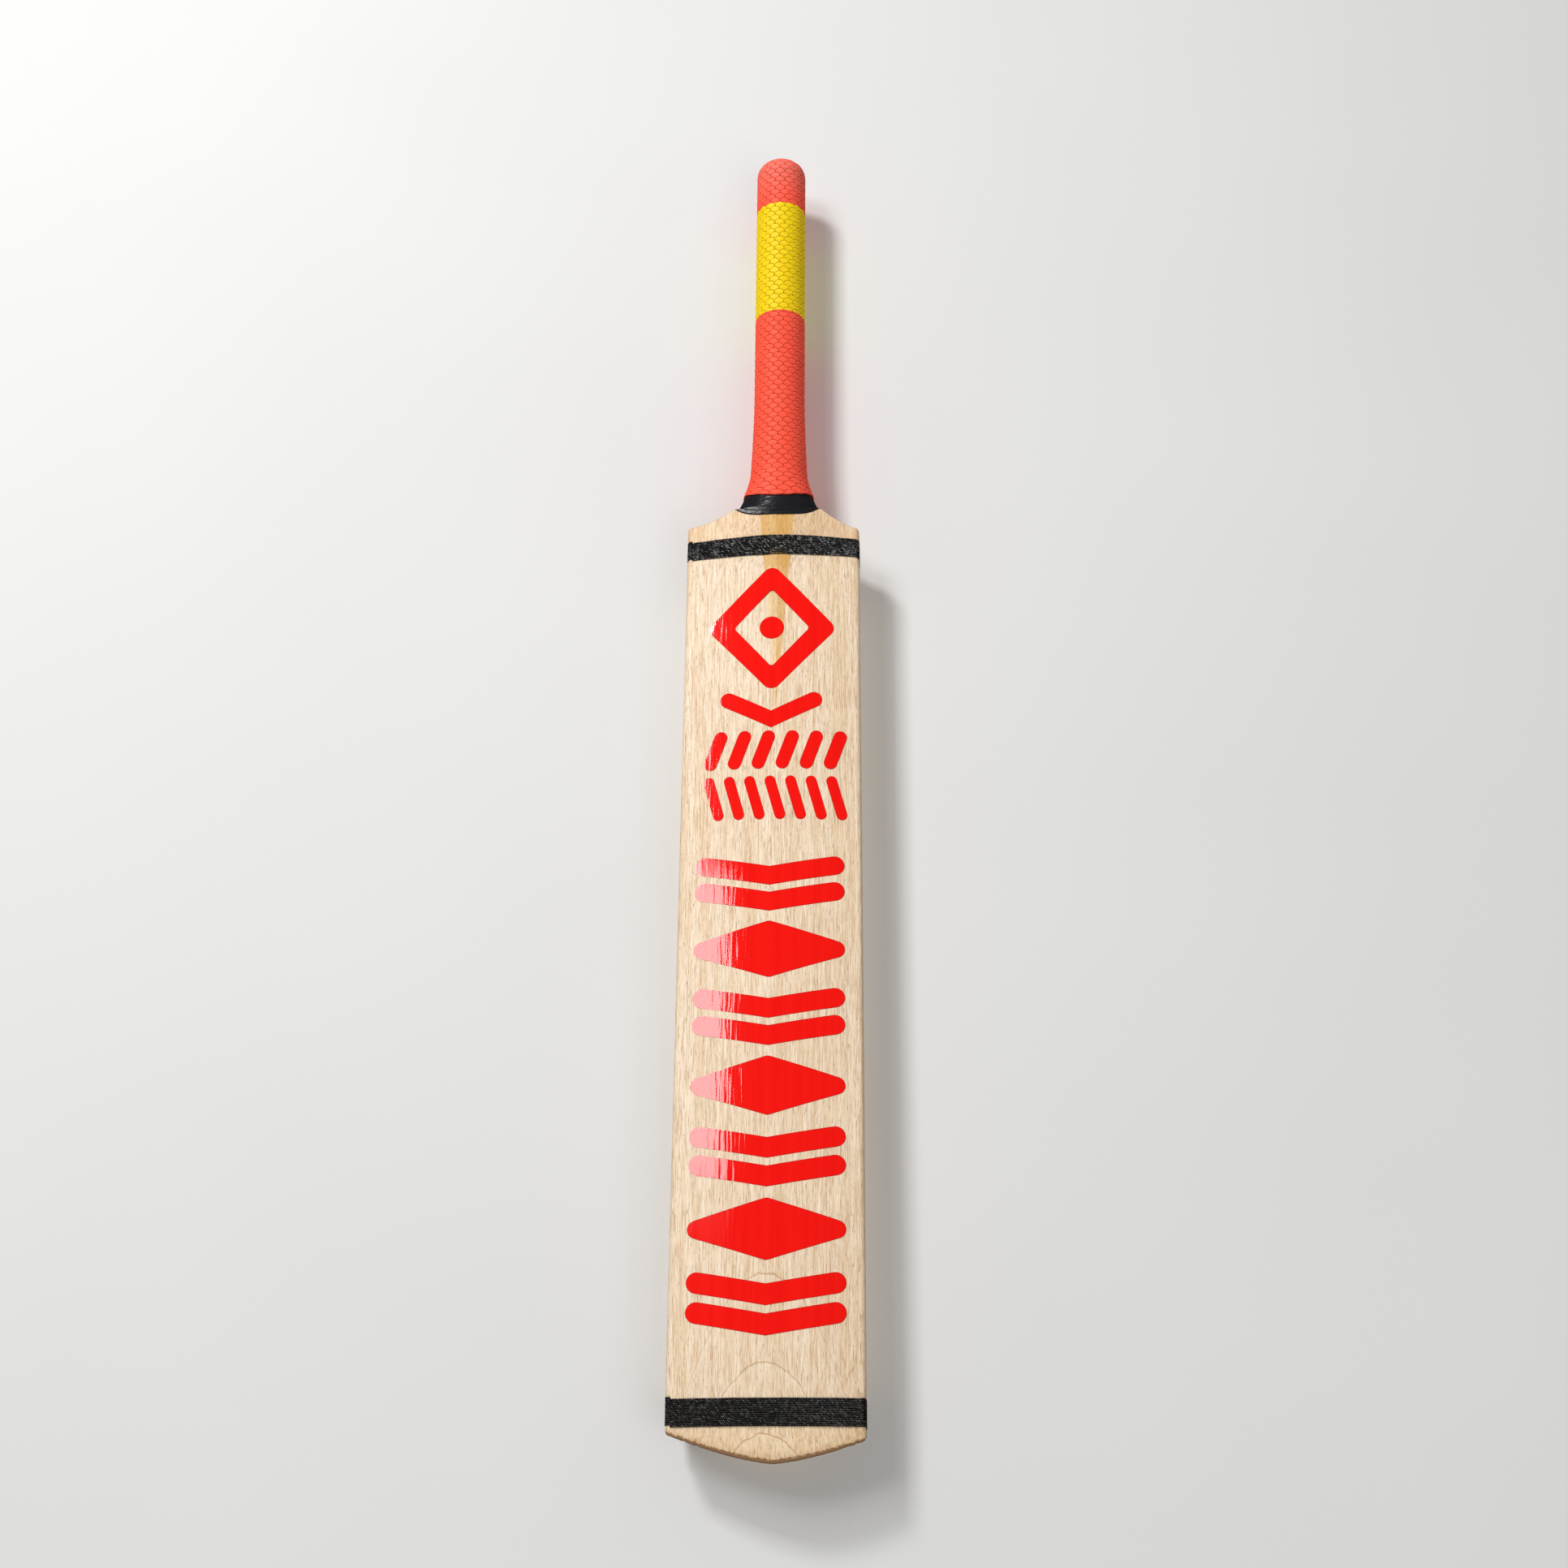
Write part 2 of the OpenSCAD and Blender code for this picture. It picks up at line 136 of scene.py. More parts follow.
def ease(t):
    u = clamp01(t)
    return u * u * (3 - 2 * u)


def swell(z, toe, most, neck):
    """A depth that grows from the toe to the swell and shrinks again to the neck."""
    low = toe + (most - toe) * np.sin(np.pi / 2 * clamp01(z / SWELL_HEIGHT))
    up = clamp01((z - SWELL_HEIGHT) / (SHOULDER_TOP - SWELL_HEIGHT))
    return np.where(z < SWELL_HEIGHT, low, neck + (most - neck) * np.cos(np.pi / 2 * up) ** 2)


def hump(x):
    """1 on the centre line, falling to 0 at half the blade's width."""
    return (1 + np.cos(np.pi * np.minimum(np.abs(x) / HALF_WIDTH, 1))) / 2


def face_y(x, z):
    return (
        FACE_CROWN * (x / HALF_WIDTH) ** 2
        - NECK_SWELL * ease((z - NECK_SWELL_FROM) / NECK_SWELL_RUN) * hump(x - HANDLE_X)
        + TOE_DIP * clamp01((TOE_DIP_HEIGHT - z) / TOE_DIP_HEIGHT) ** 2
    )


def back_y(x, z):
    edge = FACE_CROWN + swell(z, *EDGE)
    spine = swell(z, *SPINE)
    shift = HANDLE_X * ease((z - SPINE_SHIFT_FROM) / SPINE_SHIFT_RUN)
    return edge + (spine - edge) * hump(x - shift)


def grip_r(z):
    slow = clamp01((STRAIGHT_FROM - z) / (STRAIGHT_FROM - SKIRT_FROM)) ** 1.4
    fast = np.clip((SKIRT_FROM - z) / (SKIRT_FROM - GRIP_BOTTOM), 0, 1.2) ** 1.6
    return GRIP_RADIUS + FLARE_SLOW * slow + FLARE_FAST * fast


def core_r(z):
    return grip_r(z) - GRIP_WALL - TWINE


def neck_half(z, at_shoulder, power):
    """The core's radius, growing below the neck's top to a given half size at the shoulder."""
    blend = clamp01((NECK_TOP - z) / (NECK_TOP - SHOULDER_TOP))
    top = core_r(NECK_TOP)
    return np.where(z >= NECK_TOP, core_r(z), top + (at_shoulder - top) * blend ** power)


def neck_w(z):
    return neck_half(z, NECK_HALF_WIDTH, 1.2)


def neck_d(z):
    upper = neck_half(z, NECK_HALF_DEPTH, 1)
    return np.where(z > SHOULDER_TOP, upper, NECK_HALF_DEPTH - NECK_FADE * (SHOULDER_TOP - z))


def oval_y(x, z):
    u = clamp01(np.abs(x - HANDLE_X) / neck_w(z))
    return neck_d(z) * np.sqrt(1 - u * u)


def front_y(x, z):
    oval = HANDLE_DEPTH - oval_y(x, z)
    return np.where(z > SHOULDER_TOP, oval, np.minimum(face_y(x, z), oval))


def rear_y(x, z):
    oval = HANDLE_DEPTH + oval_y(x, z)
    return np.where(z > SHOULDER_TOP, oval, np.maximum(back_y(x, z), oval))


def toe_z(x):
    return TOE_RISE * (np.abs(x - TOE_OFFSET) / HALF_WIDTH) ** TOE_POWER


def shoulder_z(x):
    run = HALF_WIDTH - NECK_HALF_WIDTH - np.sign(x) * HANDLE_X
    t = clamp01((HALF_WIDTH - np.abs(x)) / run)
    return SHOULDER_HEIGHT - SHOULDER_TILT * np.sign(x) * (1 - t) + SHOULDER_RISE * t ** SHOULDER_POWER


def corner_drop(x, r):
    """How much a round corner of radius r takes off near the blade's long edges."""
    into = np.clip((np.abs(x) - (HALF_WIDTH - r)) / r, 0, 1)
    return r * (1 - np.sqrt(1 - into ** 2))


def wander(rng, period, samples):
    """Smooth random values between -1 and 1 along a line, with knots every period."""
    samples = np.asarray(samples, float)
    start = samples.min() - period
    count = int((samples.max() - start) / period) + 3
    knots = rng.uniform(-1, 1, count)
    place = (samples - start) / period
    cell = np.floor(place).astype(int)
    t = ease(place - cell)
    return knots[cell] * (1 - t) + knots[cell + 1] * t


# ---------- meshes ----------

def handle_ring(half_width, half_depth, angles, z):
    """Points round the handle's axis, counted in angles from the front towards +X."""
    x = HANDLE_X + half_width * np.sin(angles)
    y = HANDLE_DEPTH - half_depth * np.cos(angles)
    return np.stack(np.broadcast_arrays(x, y, z), -1)


def quads(rows, cols):
    """Faces of a grid of points whose rows are closed rings."""
    i, j = np.meshgrid(np.arange(rows - 1), np.arange(cols), indexing="ij")
    a = (i * cols + j).ravel()
    b = (i * cols + (j + 1) % cols).ravel()
    return np.stack([a, b, b + cols, a + cols], axis=1)


def add_object(name, data):
    obj = bpy.data.objects.new(name, data)
    bpy.context.scene.collection.objects.link(obj)
    return obj


def mesh_object(name, points, faces, sharp_deg=40):
    """A mesh object from points in millimetres, moved from the blade's own depth to the frame."""
    points = np.array(points, float).reshape(-1, 3)
    points[:, 1] += FACE_PLANE
    mesh = bpy.data.meshes.new(name)
    mesh.from_pydata((points * MM).tolist(), [], [list(map(int, f)) for f in faces])
    mesh.validate()
    obj = add_object(name, mesh)
    shade(obj, sharp_deg)
    return obj


def closed_band(name, outer, inner, sharp_deg):
    """A tube with a wall: rings of points up its outside, then down its inside."""
    points = np.concatenate([outer, inner])
    rows, columns = points.shape[:2]
    here = np.arange(columns)
    after = (here + 1) % columns
    last = (rows - 1) * columns
    join = np.stack([last + here, last + after, after, here], 1)
    return mesh_object(name, points, np.concatenate([quads(rows, columns), join]), sharp_deg)


def shade(obj, sharp_deg):
    """Smooth shading, with sharp edges where two faces meet at more than the given angle."""
    mesh = obj.data
    mesh.polygons.foreach_set("use_smooth", np.ones(len(mesh.polygons), bool))
    mesh.set_sharp_from_angle(angle=math.radians(sharp_deg))
    mesh.update()


def carve(obj, operation, *tools):
    """Applies boolean operations to obj with helper objects, which are then removed."""
    for tool in tools:
        step = obj.modifiers.new("carve", "BOOLEAN")
        step.operation = operation
        step.solver = "MANIFOLD"
        step.object = tool
        bpy.context.view_layer.update()
        graph = bpy.context.evaluated_depsgraph_get()
        made = bpy.data.meshes.new_from_object(obj.evaluated_get(graph))
        obj.modifiers.remove(step)
        obj.data = made
        bpy.data.objects.remove(tool)


def finish_piece(obj, material, slot, *nodes):
    """Gives a piece its material, lets it ride on the bat and stand for its CAD nodes; the slot is not
    used.
    """
    obj.data.materials.clear()
    obj.data.materials.append(material)
    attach(obj, "root")
    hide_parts(*nodes)


# ---------- blade ----------

def blade_columns(steps, arc, flat):
    """Places round the blade: a part of its outline, with a share along it or a corner's angle."""
    across = [2 * i / steps - 1 for i in range(steps + 1)]
    bend = [math.radians(90 * (i + 1) / arc) for i in range(arc)]
    down = [(i + 1) / flat for i in range(flat - 1)]
    parts = (
        ("front", across), ("front_right", bend), ("right", down), ("back_right", bend[::-1]),
        ("back", [1 - 2 * i / steps for i in range(steps + 1)]), ("back_left", bend),
        ("left", [1 - share for share in down]), ("front_left", bend[::-1]))
    return [(part, value) for part, values in parts for value in values]


def blade_point(place, z, grow=0.0):
    """x and y of one place round the blade's section at height z (an array), grown outwards."""
    kind, value = place
    side = HALF_WIDTH - EDGE_RADIUS
    sign = -1 if kind.endswith("left") else 1
    r = EDGE_RADIUS + grow
    front_mid = face_y(np.full_like(z, side), z) + EDGE_RADIUS
    back_mid = back_y(np.full_like(z, side), z) - EDGE_RADIUS
    if kind == "front":
        x = np.full_like(z, side * value)
        return x, face_y(x, z) - grow
    if kind == "back":
        x = np.full_like(z, side * value)
        return x, back_y(x, z) + grow
    if kind in ("right", "left"):
        return np.full_like(z, sign * (side + r)), front_mid + (back_mid - front_mid) * value
    x = np.full_like(z, sign * (side + r * math.sin(value)))
    if kind.startswith("front"):
        return x, front_mid - r * math.cos(value)
    return x, back_mid + r * math.cos(value)


PRESS_DEPTH = 0.9             # how far the long edges give way under a tight binding
PRESS_FROM, PRESS_RUN = 50.0, 4.0


def pressed_in(x, z):
    """How far the surface gives way under the bindings at a place."""
    depth = np.zeros(np.broadcast(x, z).shape)
    for node in ("shoulder_binding", "toe_binding"):
        low, high = box_mm(node)
        depth = np.maximum(depth, ease((np.minimum(z - low[2], high[2] - z) + 0.3) / 1.8))
    return PRESS_DEPTH * depth * ease((np.abs(x) - PRESS_FROM) / PRESS_RUN)


def blade_body():
    """The blade without its neck: rings from toe to shoulders with rounded, chipped end edges."""
    steps, arc, flat = 72, 5, 6
    columns = blade_columns(steps, arc, flat)
    count = len(columns)
    rounds = np.radians([0, 22, 45, 68, 90])
    toe_round, shoulder_round = 0.9, 0.7
    body_rows = 260
    shares = np.linspace(0, 1, body_rows)
    # each row: share of the way up, inset from the surface, lift from the toe or drop from the shoulder
    rows = [(0.0, toe_round * (1 - math.sin(a)), -toe_round * math.cos(a)) for a in rounds[:-1]]
    rows += [(t, 0.0, 0.0) for t in shares]
    rows += [(1.0, shoulder_round * (1 - math.sin(a)), shoulder_round * math.cos(a))
             for a in rounds[-2::-1]]
    share, inset, lift = (np.array(v) for v in zip(*rows))
    rng = np.random.default_rng(5)
    flat_x = np.array([blade_point(c, np.array([300.0]))[0][0] for c in columns])
    chips = np.where(wander(rng, 1.3, flat_x) > 0.45, 0.7, 0.15) * np.abs(wander(rng, 0.9, flat_x))
    points = np.zeros((len(rows), count, 3))
    for j, column in enumerate(columns):
        x0 = flat_x[j]
        low = toe_z(x0) + corner_drop(x0, 1.5) + toe_round
        low += TOE_SLOPE * (blade_point(column, np.array([low]))[1][0] - TOE_DIP)
        high = shoulder_z(x0) - corner_drop(x0, 1.2) - shoulder_round
        z = low + share * (high - low) + lift
        x, y = blade_point(column, z)
        middle = (face_y(x, z) + back_y(x, z)) / 2
        wear_and_painted_light = inset + chips[j] * ease((6 - np.arange(len(rows))) / 5)
        shrink = 1 - wear_and_painted_light / HALF_WIDTH
        points[:, j, 0] = x * shrink - np.sign(x) * pressed_in(x, z)
        points[:, j, 1] = y + np.clip(middle - y, -1, 1) * wear_and_painted_light
        points[:, j, 2] = z + chips[j] * 0.8 * ease((5 - np.arange(len(rows))) / 4)
    faces = quads(len(rows), count).tolist()
    last = (len(rows) - 1) * count
    back_start = steps + 1 + 2 * arc + flat - 1
    for i in range(steps):
        a, b = i, i + 1
        d, c = back_start + steps - i, back_start + steps - i - 1
        faces.append([b, a, d, c])
        faces.append([last + a, last + b, last + c, last + d])
    right = list(range(steps, back_start + 1))
    left = list(range(back_start + steps, count)) + [0]
    for loop in (right, left):
        faces.append(loop[::-1])
        faces.append([last + k for k in loop])
    return mesh_object("blade_wood", points, faces)


def neck_loft():
    z = np.linspace(559, 658.5, 80)
    angles = np.radians(np.arange(0, 360, 3))
    zz, aa = np.meshgrid(z, angles, indexing="ij")
    count = len(angles)
    faces = quads(len(z), count).tolist()
    faces.append(list(range(count))[::-1])
    faces.append([(len(z) - 1) * count + k for k in range(count)])
    return mesh_object("neck", handle_ring(neck_w(zz), neck_d(zz), aa, zz), faces)


CUT_DEPTHS = (-60.0, 90.0)    # where a cutting prism begins and ends, beyond the bat on both sides


def prism(loops):
    """Closed prisms along the depth; a loop is a list of (x, z), or a pair of equal loops for a ring."""
    points, faces = [], []
    for loop in loops:
        ring = isinstance(loop, tuple)
        rims = loop if ring else (loop,)
        base, n = len(points), len(rims[0])
        for rim in rims:
            for depth in CUT_DEPTHS:
                points += [(x, depth, z) for x, z in rim]
        for k in range(n):
            m = (k + 1) % n
            faces.append([base + k, base + m, base + n + m, base + n + k])
        if not ring:
            faces.append([base + k for k in range(n)][::-1])
            faces.append([base + n + k for k in range(n)])
            continue
        inner = base + 2 * n
        for k in range(n):
            m = (k + 1) % n
            faces.append([inner + m, inner + k, inner + n + k, inner + n + m])
            faces.append([base + m, base + k, inner + k, inner + m])
            faces.append([base + n + k, base + n + m, inner + n + m, inner + n + k])
    tool = mesh_object("prism", points, faces)
    fix_normals(tool)
    return tool


def fix_normals(obj):
    """Turns every face outwards."""
    bm = bmesh.new()
    bm.from_mesh(obj.data)
    bmesh.ops.recalc_face_normals(bm, faces=bm.faces)
    bm.to_mesh(obj.data)
    bm.free()


def build_blade(material):
    blade = blade_body()
    neck = neck_loft()
    for part in (blade, neck):
        fix_normals(part)
    slot = [
        (HANDLE_X, SPLICE_POINT), (HANDLE_X + CANE_RADIUS, SPLICE_FULL),
        (HANDLE_X + CANE_RADIUS, STRAIGHT_FROM + 1), (HANDLE_X - CANE_RADIUS, STRAIGHT_FROM + 1),
        (HANDLE_X - CANE_RADIUS, SPLICE_FULL),
    ]
    carve(blade, "UNION", neck)
    carve(blade, "DIFFERENCE", prism([slot]))
    shade(blade, 38)
    finish_piece(blade, material, "blade_wood", "blade")


# ---------- grip ----------

SCALES_ROUND = 16
SCALE_ROW = 3.5
SCALE_HEIGHT = 0.9
GROOVE_DEPTH = 0.35
LIP_WIDTH, GROOVE_WIDTH = 0.6, 0.8


def scale_relief(around, z):
    """Height of the moulded fish-scale relief, and a mark for painted shade and highlight: 1 in a groove,
    below 0 on a scale's lip.

    around is in turns, z in millimetres.
    """
    pitch = 2 * math.pi * GRIP_RADIUS / SCALES_ROUND
    radius = pitch / 2
    relief = np.zeros_like(z)
    lip = np.zeros_like(z)
    groove = np.zeros_like(z)
    found = np.zeros(z.shape, bool)
    first = np.floor(z / SCALE_ROW).astype(int) - 2
    for step in range(5):
        row = first + step
        u = around * SCALES_ROUND + 0.5 * (row % 2)
        du = (u - np.round(u)) * pitch
        arch = row * SCALE_ROW + np.sqrt(np.maximum(radius ** 2 - du ** 2, 0))
        beyond = np.hypot(du, np.maximum(z - row * SCALE_ROW, 0)) - radius
        here = ~found & (z < arch)
        below = (arch - z) / (2 * SCALE_ROW)
        tile = SCALE_HEIGHT * (1 - clamp01(below)) ** 0.9
        relief = np.where(here, tile, relief)
        lip = np.where(here, np.exp(-(beyond / LIP_WIDTH) ** 2), lip)
        found |= here
        groove = np.where(found, groove, np.maximum(groove, np.exp(-(beyond / GROOVE_WIDTH) ** 2)))
    return relief - GROOVE_DEPTH * groove, groove - 0.7 * lip * (1 - groove)


def mark_grooves(obj, groove):
    """Stores the mark of grooves and lips on each vertex, for the painted groove shade and lip highlight
    in the rubber's colour.
    """
    values = np.zeros(len(obj.data.vertices), np.float32)
    values[:groove.size] = groove.ravel()
    obj.data.attributes.new("groove", "FLOAT", "POINT").data.foreach_set("value", values)


def grip_depth_r(z):
    """Half the grip's depth; on its skirt it stays closer to the neck than the half width does."""
    return np.minimum(grip_r(z), neck_d(z) + GRIP_WALL + 0.6)


def grip_sleeve(name, low_z, high_z, columns, row_step):
    """A closed sleeve with relief outside and a plain wall inside; low_z may vary with the angle."""
    angles = 2 * math.pi * np.arange(columns) / columns
    turns = np.arange(columns) / columns
    low = low_z(angles)
    rows = int((high_z - low.mean()) / row_step) + 1
    share = np.linspace(0, 1, rows)[:, None]
    z = low[None, :] + share * (high_z - low[None, :])
    relief, groove = scale_relief(np.broadcast_to(turns, z.shape), z)
    out = (relief - SCALE_HEIGHT / 2) * ease((z - low[None, :]) / 0.8)
    outer = handle_ring(grip_r(z) + out, grip_depth_r(z) + out, angles, z)
    inner_share = np.linspace(1, 0, 9)[:, None]
    zi = low[None, :] + inner_share * (high_z - low[None, :])
    inner = handle_ring(grip_r(zi) - GRIP_WALL + GAP, grip_depth_r(zi) - GRIP_WALL + GAP, angles, zi)
    sleeve = closed_band(name, outer, inner, 60)
    mark_grooves(sleeve, groove)
    return sleeve


def grip_cap(name, low_z, columns, row_step):
    """The closed, rounded end of the grip: straight wall, quarter-round shoulder, nearly flat top."""
    end_r = 11.0
    straight = np.arange(low_z, BAT_LENGTH - end_r, row_step)
    bend = np.radians(np.linspace(0, 90, 44))
    flat = np.linspace(1, 0.04, 12)[1:]
    crown = 0.5
    radius = np.concatenate([
        np.full(len(straight), GRIP_RADIUS),
        GRIP_RADIUS - end_r + end_r * np.cos(bend),
        (GRIP_RADIUS - end_r) * flat])
    height = np.concatenate([
        straight,
        BAT_LENGTH - crown - end_r + end_r * np.sin(bend),
        BAT_LENGTH - crown * flat ** 2])
    lean = np.concatenate([np.zeros(len(straight)), bend, np.full(len(flat), math.pi / 2)])
    angles = 2 * math.pi * np.arange(columns) / columns
    turns = np.broadcast_to(np.arange(columns) / columns, (len(radius), columns))
    run = np.concatenate([[0], np.cumsum(np.hypot(np.diff(radius), np.diff(height)))]) + low_z
    along = np.broadcast_to(run[:, None], turns.shape)
    weight = clamp01((radius - 7) / 8)[:, None] ** 1.5
    relief, groove = scale_relief(turns, along)
    out = (relief - SCALE_HEIGHT / 2) * weight
    r = radius[:, None] + out * np.cos(lean)[:, None]
    outer = handle_ring(r, r, angles, height[:, None] + out * np.sin(lean)[:, None])
    inner_r = np.concatenate([[0.3], GRIP_RADIUS - end_r + (end_r - GRIP_WALL) * np.cos(bend[::-4]),
                              [GRIP_RADIUS - GRIP_WALL]]) + GAP
    inner_z = np.concatenate([[BAT_LENGTH - GRIP_WALL],
                              BAT_LENGTH - end_r + (end_r - GRIP_WALL) * np.sin(bend[::-4]), [low_z]])
    inner = handle_ring(inner_r[:, None], inner_r[:, None], angles, inner_z[:, None])
    outer_rows = len(outer)
    points = np.concatenate([outer, inner])
    faces = [f for f in quads(len(points), columns).tolist() if f[0] // columns != outer_rows - 1]
    close = range(columns)
    last = (len(points) - 1) * columns
    faces += [[last + k, last + (k + 1) % columns, (k + 1) % columns, k] for k in close]
    faces.append([(outer_rows - 1) * columns + k for k in close])
    faces.append([outer_rows * columns + k for k in close][::-1])
    cap = mesh_object(name, points, faces, 60)
    mark_grooves(cap, groove * weight)
    return cap


TAPE_TOP, TAPE_TOP_RISE = 580.8, 7.2
TAPE_FOOT, TAPE_FOOT_RISE = 567.0, 7.0
TAPE_HIDDEN = 1.2             # how far the tape runs on under the grip


def tape_top(angles):
    """Height of the grip's lower edge, where the tape goes under it: lower in front and behind."""
    return TAPE_TOP + TAPE_TOP_RISE * np.sin(angles) ** 2


def build_grip(red, yellow):
    rng = np.random.default_rng(11)

    def ragged(angles):
        return tape_top(angles) + 0.25 * wander(rng, 0.12, angles)

    def level(angles):
        return np.full_like(angles, BAND_LOW[2])

    lower = grip_sleeve("grip_lower_rubber", ragged, BAND_LOW[2], 256, 0.42)
    middle = grip_sleeve("grip_band_rubber", level, BAND_HIGH[2], 288, 0.36)
    top = grip_cap("grip_top_rubber", BAND_HIGH[2], 288, 0.36)
    finish_piece(lower, red, "grip_red", "grip_lower")
    finish_piece(middle, yellow, "grip_yellow", "grip_band")
    finish_piece(top, red, "grip_red", "grip_top")


# ---------- collar tape ----------

def build_collar(material):
    """Three turns of tape, each lapped over the one below it, with small creases."""
    columns, rows = 240, 72
    angles = 2 * math.pi * np.arange(columns) / columns
    share = np.linspace(0, 1, rows)
    low = TAPE_FOOT + TAPE_FOOT_RISE * np.sin(angles) ** 4
    high = tape_top(angles) + TAPE_HIDDEN
    rng = np.random.default_rng(3)
    low = low + 0.15 * wander(rng, 0.5, angles)
    vv, aa = np.meshgrid(share, angles, indexing="ij")
    z = low + vv * (high - low)
    step = sum(ease((vv - lap - 0.03 * np.sin(aa - 0.6)) / 0.04) for lap in (0.20, 0.36))
    edge = ease(vv / 0.05)
    crease = sum(
        amount * np.sin(turns * aa + phase) * np.exp(-((vv - place) / width) ** 2)
        for amount, turns, phase, place, width in (
            (0.10, 5, 0.3, 0.80, 0.12), (0.07, 9, 1.7, 0.90, 0.08), (0.05, 14, 4.0, 0.62, 0.10),
            (0.04, 11, 2.2, 0.25, 0.12)))
    grow = 0.20 + 0.30 * edge + 0.26 * step + crease
    outer = tape_surface(aa, z, grow)
    zi = low + share[::-6, None] * (high - low)
    inner = tape_surface(np.broadcast_to(angles, zi.shape), zi, np.full_like(zi, GAP))
    tape = closed_band("collar_tape_wrap", outer, inner, 50)
    finish_piece(tape, material, "black_tape", "collar_tape")


def tape_surface(angle, z, grow):
    """Points on the neck at an angle round it, moved outwards by the tape's thickness."""
    inner_x = HANDLE_X + neck_w(z) * np.sin(angle)
    x = HANDLE_X + (neck_w(z) + grow) * np.sin(angle)
    front = np.cos(angle) >= 0
    y = np.where(front, front_y(inner_x, z), rear_y(inner_x, z)) - grow * np.cos(angle)
    return np.stack([x, y, z], -1)


# ---------- cord bindings ----------

CORD_PITCH = 1.15             # from one turn round the blade to the next
CORD_RADIUS = 0.62
CORD_LAY = 1.2                # from one strand to the next along the cord
CORD_SUNK = 0.12              # how far the cord is pressed into the wood


def blade_path(z, grow, step):
    """Evenly spaced points round the blade at height z, with outward normals."""
    columns = blade_columns(60, 8, 8)
    ring = np.array([[float(v[0]) for v in blade_point(c, np.array([z]), grow)] for c in columns])
    ring = np.vstack([ring, ring[:1]])
    length = np.concatenate([[0], np.cumsum(np.hypot(*np.diff(ring, axis=0).T))])
    count = int(length[-1] / step)
    s = np.arange(count) * length[-1] / count
    path = np.stack([np.interp(s, length, ring[:, k]) for k in (0, 1)], -1)
    ahead = np.roll(path, -2, 0) - np.roll(path, 2, 0)
    normal = np.stack([ahead[:, 1], -ahead[:, 0]], -1)
    normal /= np.linalg.norm(normal, axis=1)[:, None]
    return path, normal


def build_binding(name, node, material, seed):
    """One length of two-ply cord wound in close turns; its section turns with the lay of the cord."""
    low, high = box_mm(node)
    turns = int(round((high[2] - low[2]) / CORD_PITCH)) - 1
    sides, step = 6, 0.32
    path, normal = blade_path((low[2] + high[2]) / 2, CORD_RADIUS - CORD_SUNK, step)
    path[:, 0] -= np.sign(path[:, 0]) * pressed_in(path[:, 0], (low[2] + high[2]) / 2)
    rng = np.random.default_rng(seed)
    count = len(path)
    total = count * turns
    index = np.arange(total) % count
    travel = np.arange(total) / count
    loop_z = low[2] + CORD_RADIUS + travel * (high[2] - low[2] - 2 * CORD_RADIUS) / turns
    depth_shift = face_y(path[:, 0], np.full(count, low[2])) - face_y(path[:, 0], np.full(count, high[2]))
    mean_y = path[index, 1]
    tilt = (loop_z - (low[2] + high[2]) / 2) / (high[2] - low[2])
    near = clamp01((20 - mean_y) / 10)
    centre_y = mean_y - depth_shift[index] * tilt * near
    sway = 0.07 * wander(rng, 9.0, np.arange(total) * step)
    bulge = 0.05 * wander(rng, 5.0, np.arange(total) * step)
    phi = 2 * math.pi * np.arange(sides) / sides
    along = np.arange(total) * step
    twist = -math.pi * along / CORD_LAY
    radius = CORD_RADIUS * (0.88 + 0.16 * np.cos(2 * (phi[None, :] - twist[:, None])))
    out = radius * np.cos(phi) + bulge[:, None]
    up = radius * np.sin(phi)
    x = path[index, 0][:, None] + out * normal[index, 0][:, None]
    y = centre_y[:, None] + out * normal[index, 1][:, None]
    z = (loop_z + sway)[:, None] + up
    faces = quads(total, sides)
    ends = [list(range(sides)), [(total - 1) * sides + k for k in range(sides)][::-1]]
    cord = mesh_object(name, np.stack([x, y, z], -1), faces.tolist() + ends, 80)
    uv = cord.data.uv_layers.new(name="cord")
    corner = np.tile([0, 1, 1, 0], len(faces)), np.tile([0, 0, 1, 1], len(faces))
    row = np.repeat(faces[:, 0] // sides, 4) + corner[1]
    col = np.repeat(faces[:, 0] % sides, 4) + corner[0]
    data = np.zeros((len(cord.data.loops), 2), np.float32)
    data[:len(row), 0] = row * step
    data[:len(row), 1] = col / sides
    uv.data.foreach_set("uv", data.ravel())
    fix_normals(cord)
    finish_piece(cord, material, "black_cord", node)


# ---------- vinyl decals ----------

VINYL = 0.15
EMBLEM_LIFT = 0.45            # keeps the vinyl clear of the flat facets of the canes under the emblem
LIFT_FROM, LIFT_RUN = 500.0, 20.0


def arc_points(centre, r, start, end, count):
    return [(centre[0] + r * math.cos(a), centre[1] + r * math.sin(a))
            for a in np.linspace(start, end, count)]


def rounded(centres, r):
    """Outline of equal circles round a convex, anticlockwise list of centres."""
    outline = []
    n = len(centres)
    for k, centre in enumerate(centres):
        before = np.subtract(centre, centres[k - 1])
        after = np.subtract(centres[(k + 1) % n], centre)
        start = math.atan2(-before[0], before[1])
        end = math.atan2(-after[0], after[1])
        if end < start:
            end += 2 * math.pi
        outline += arc_points(centre, r, start, end, 9)
    return outline


def lozenge(middle, length, height, corner):
    w, h = length / 2 - corner, height / 2 - corner
    x, z = middle
    return rounded([(x + w, z), (x, z + h), (x - w, z), (x, z - h)], corner)


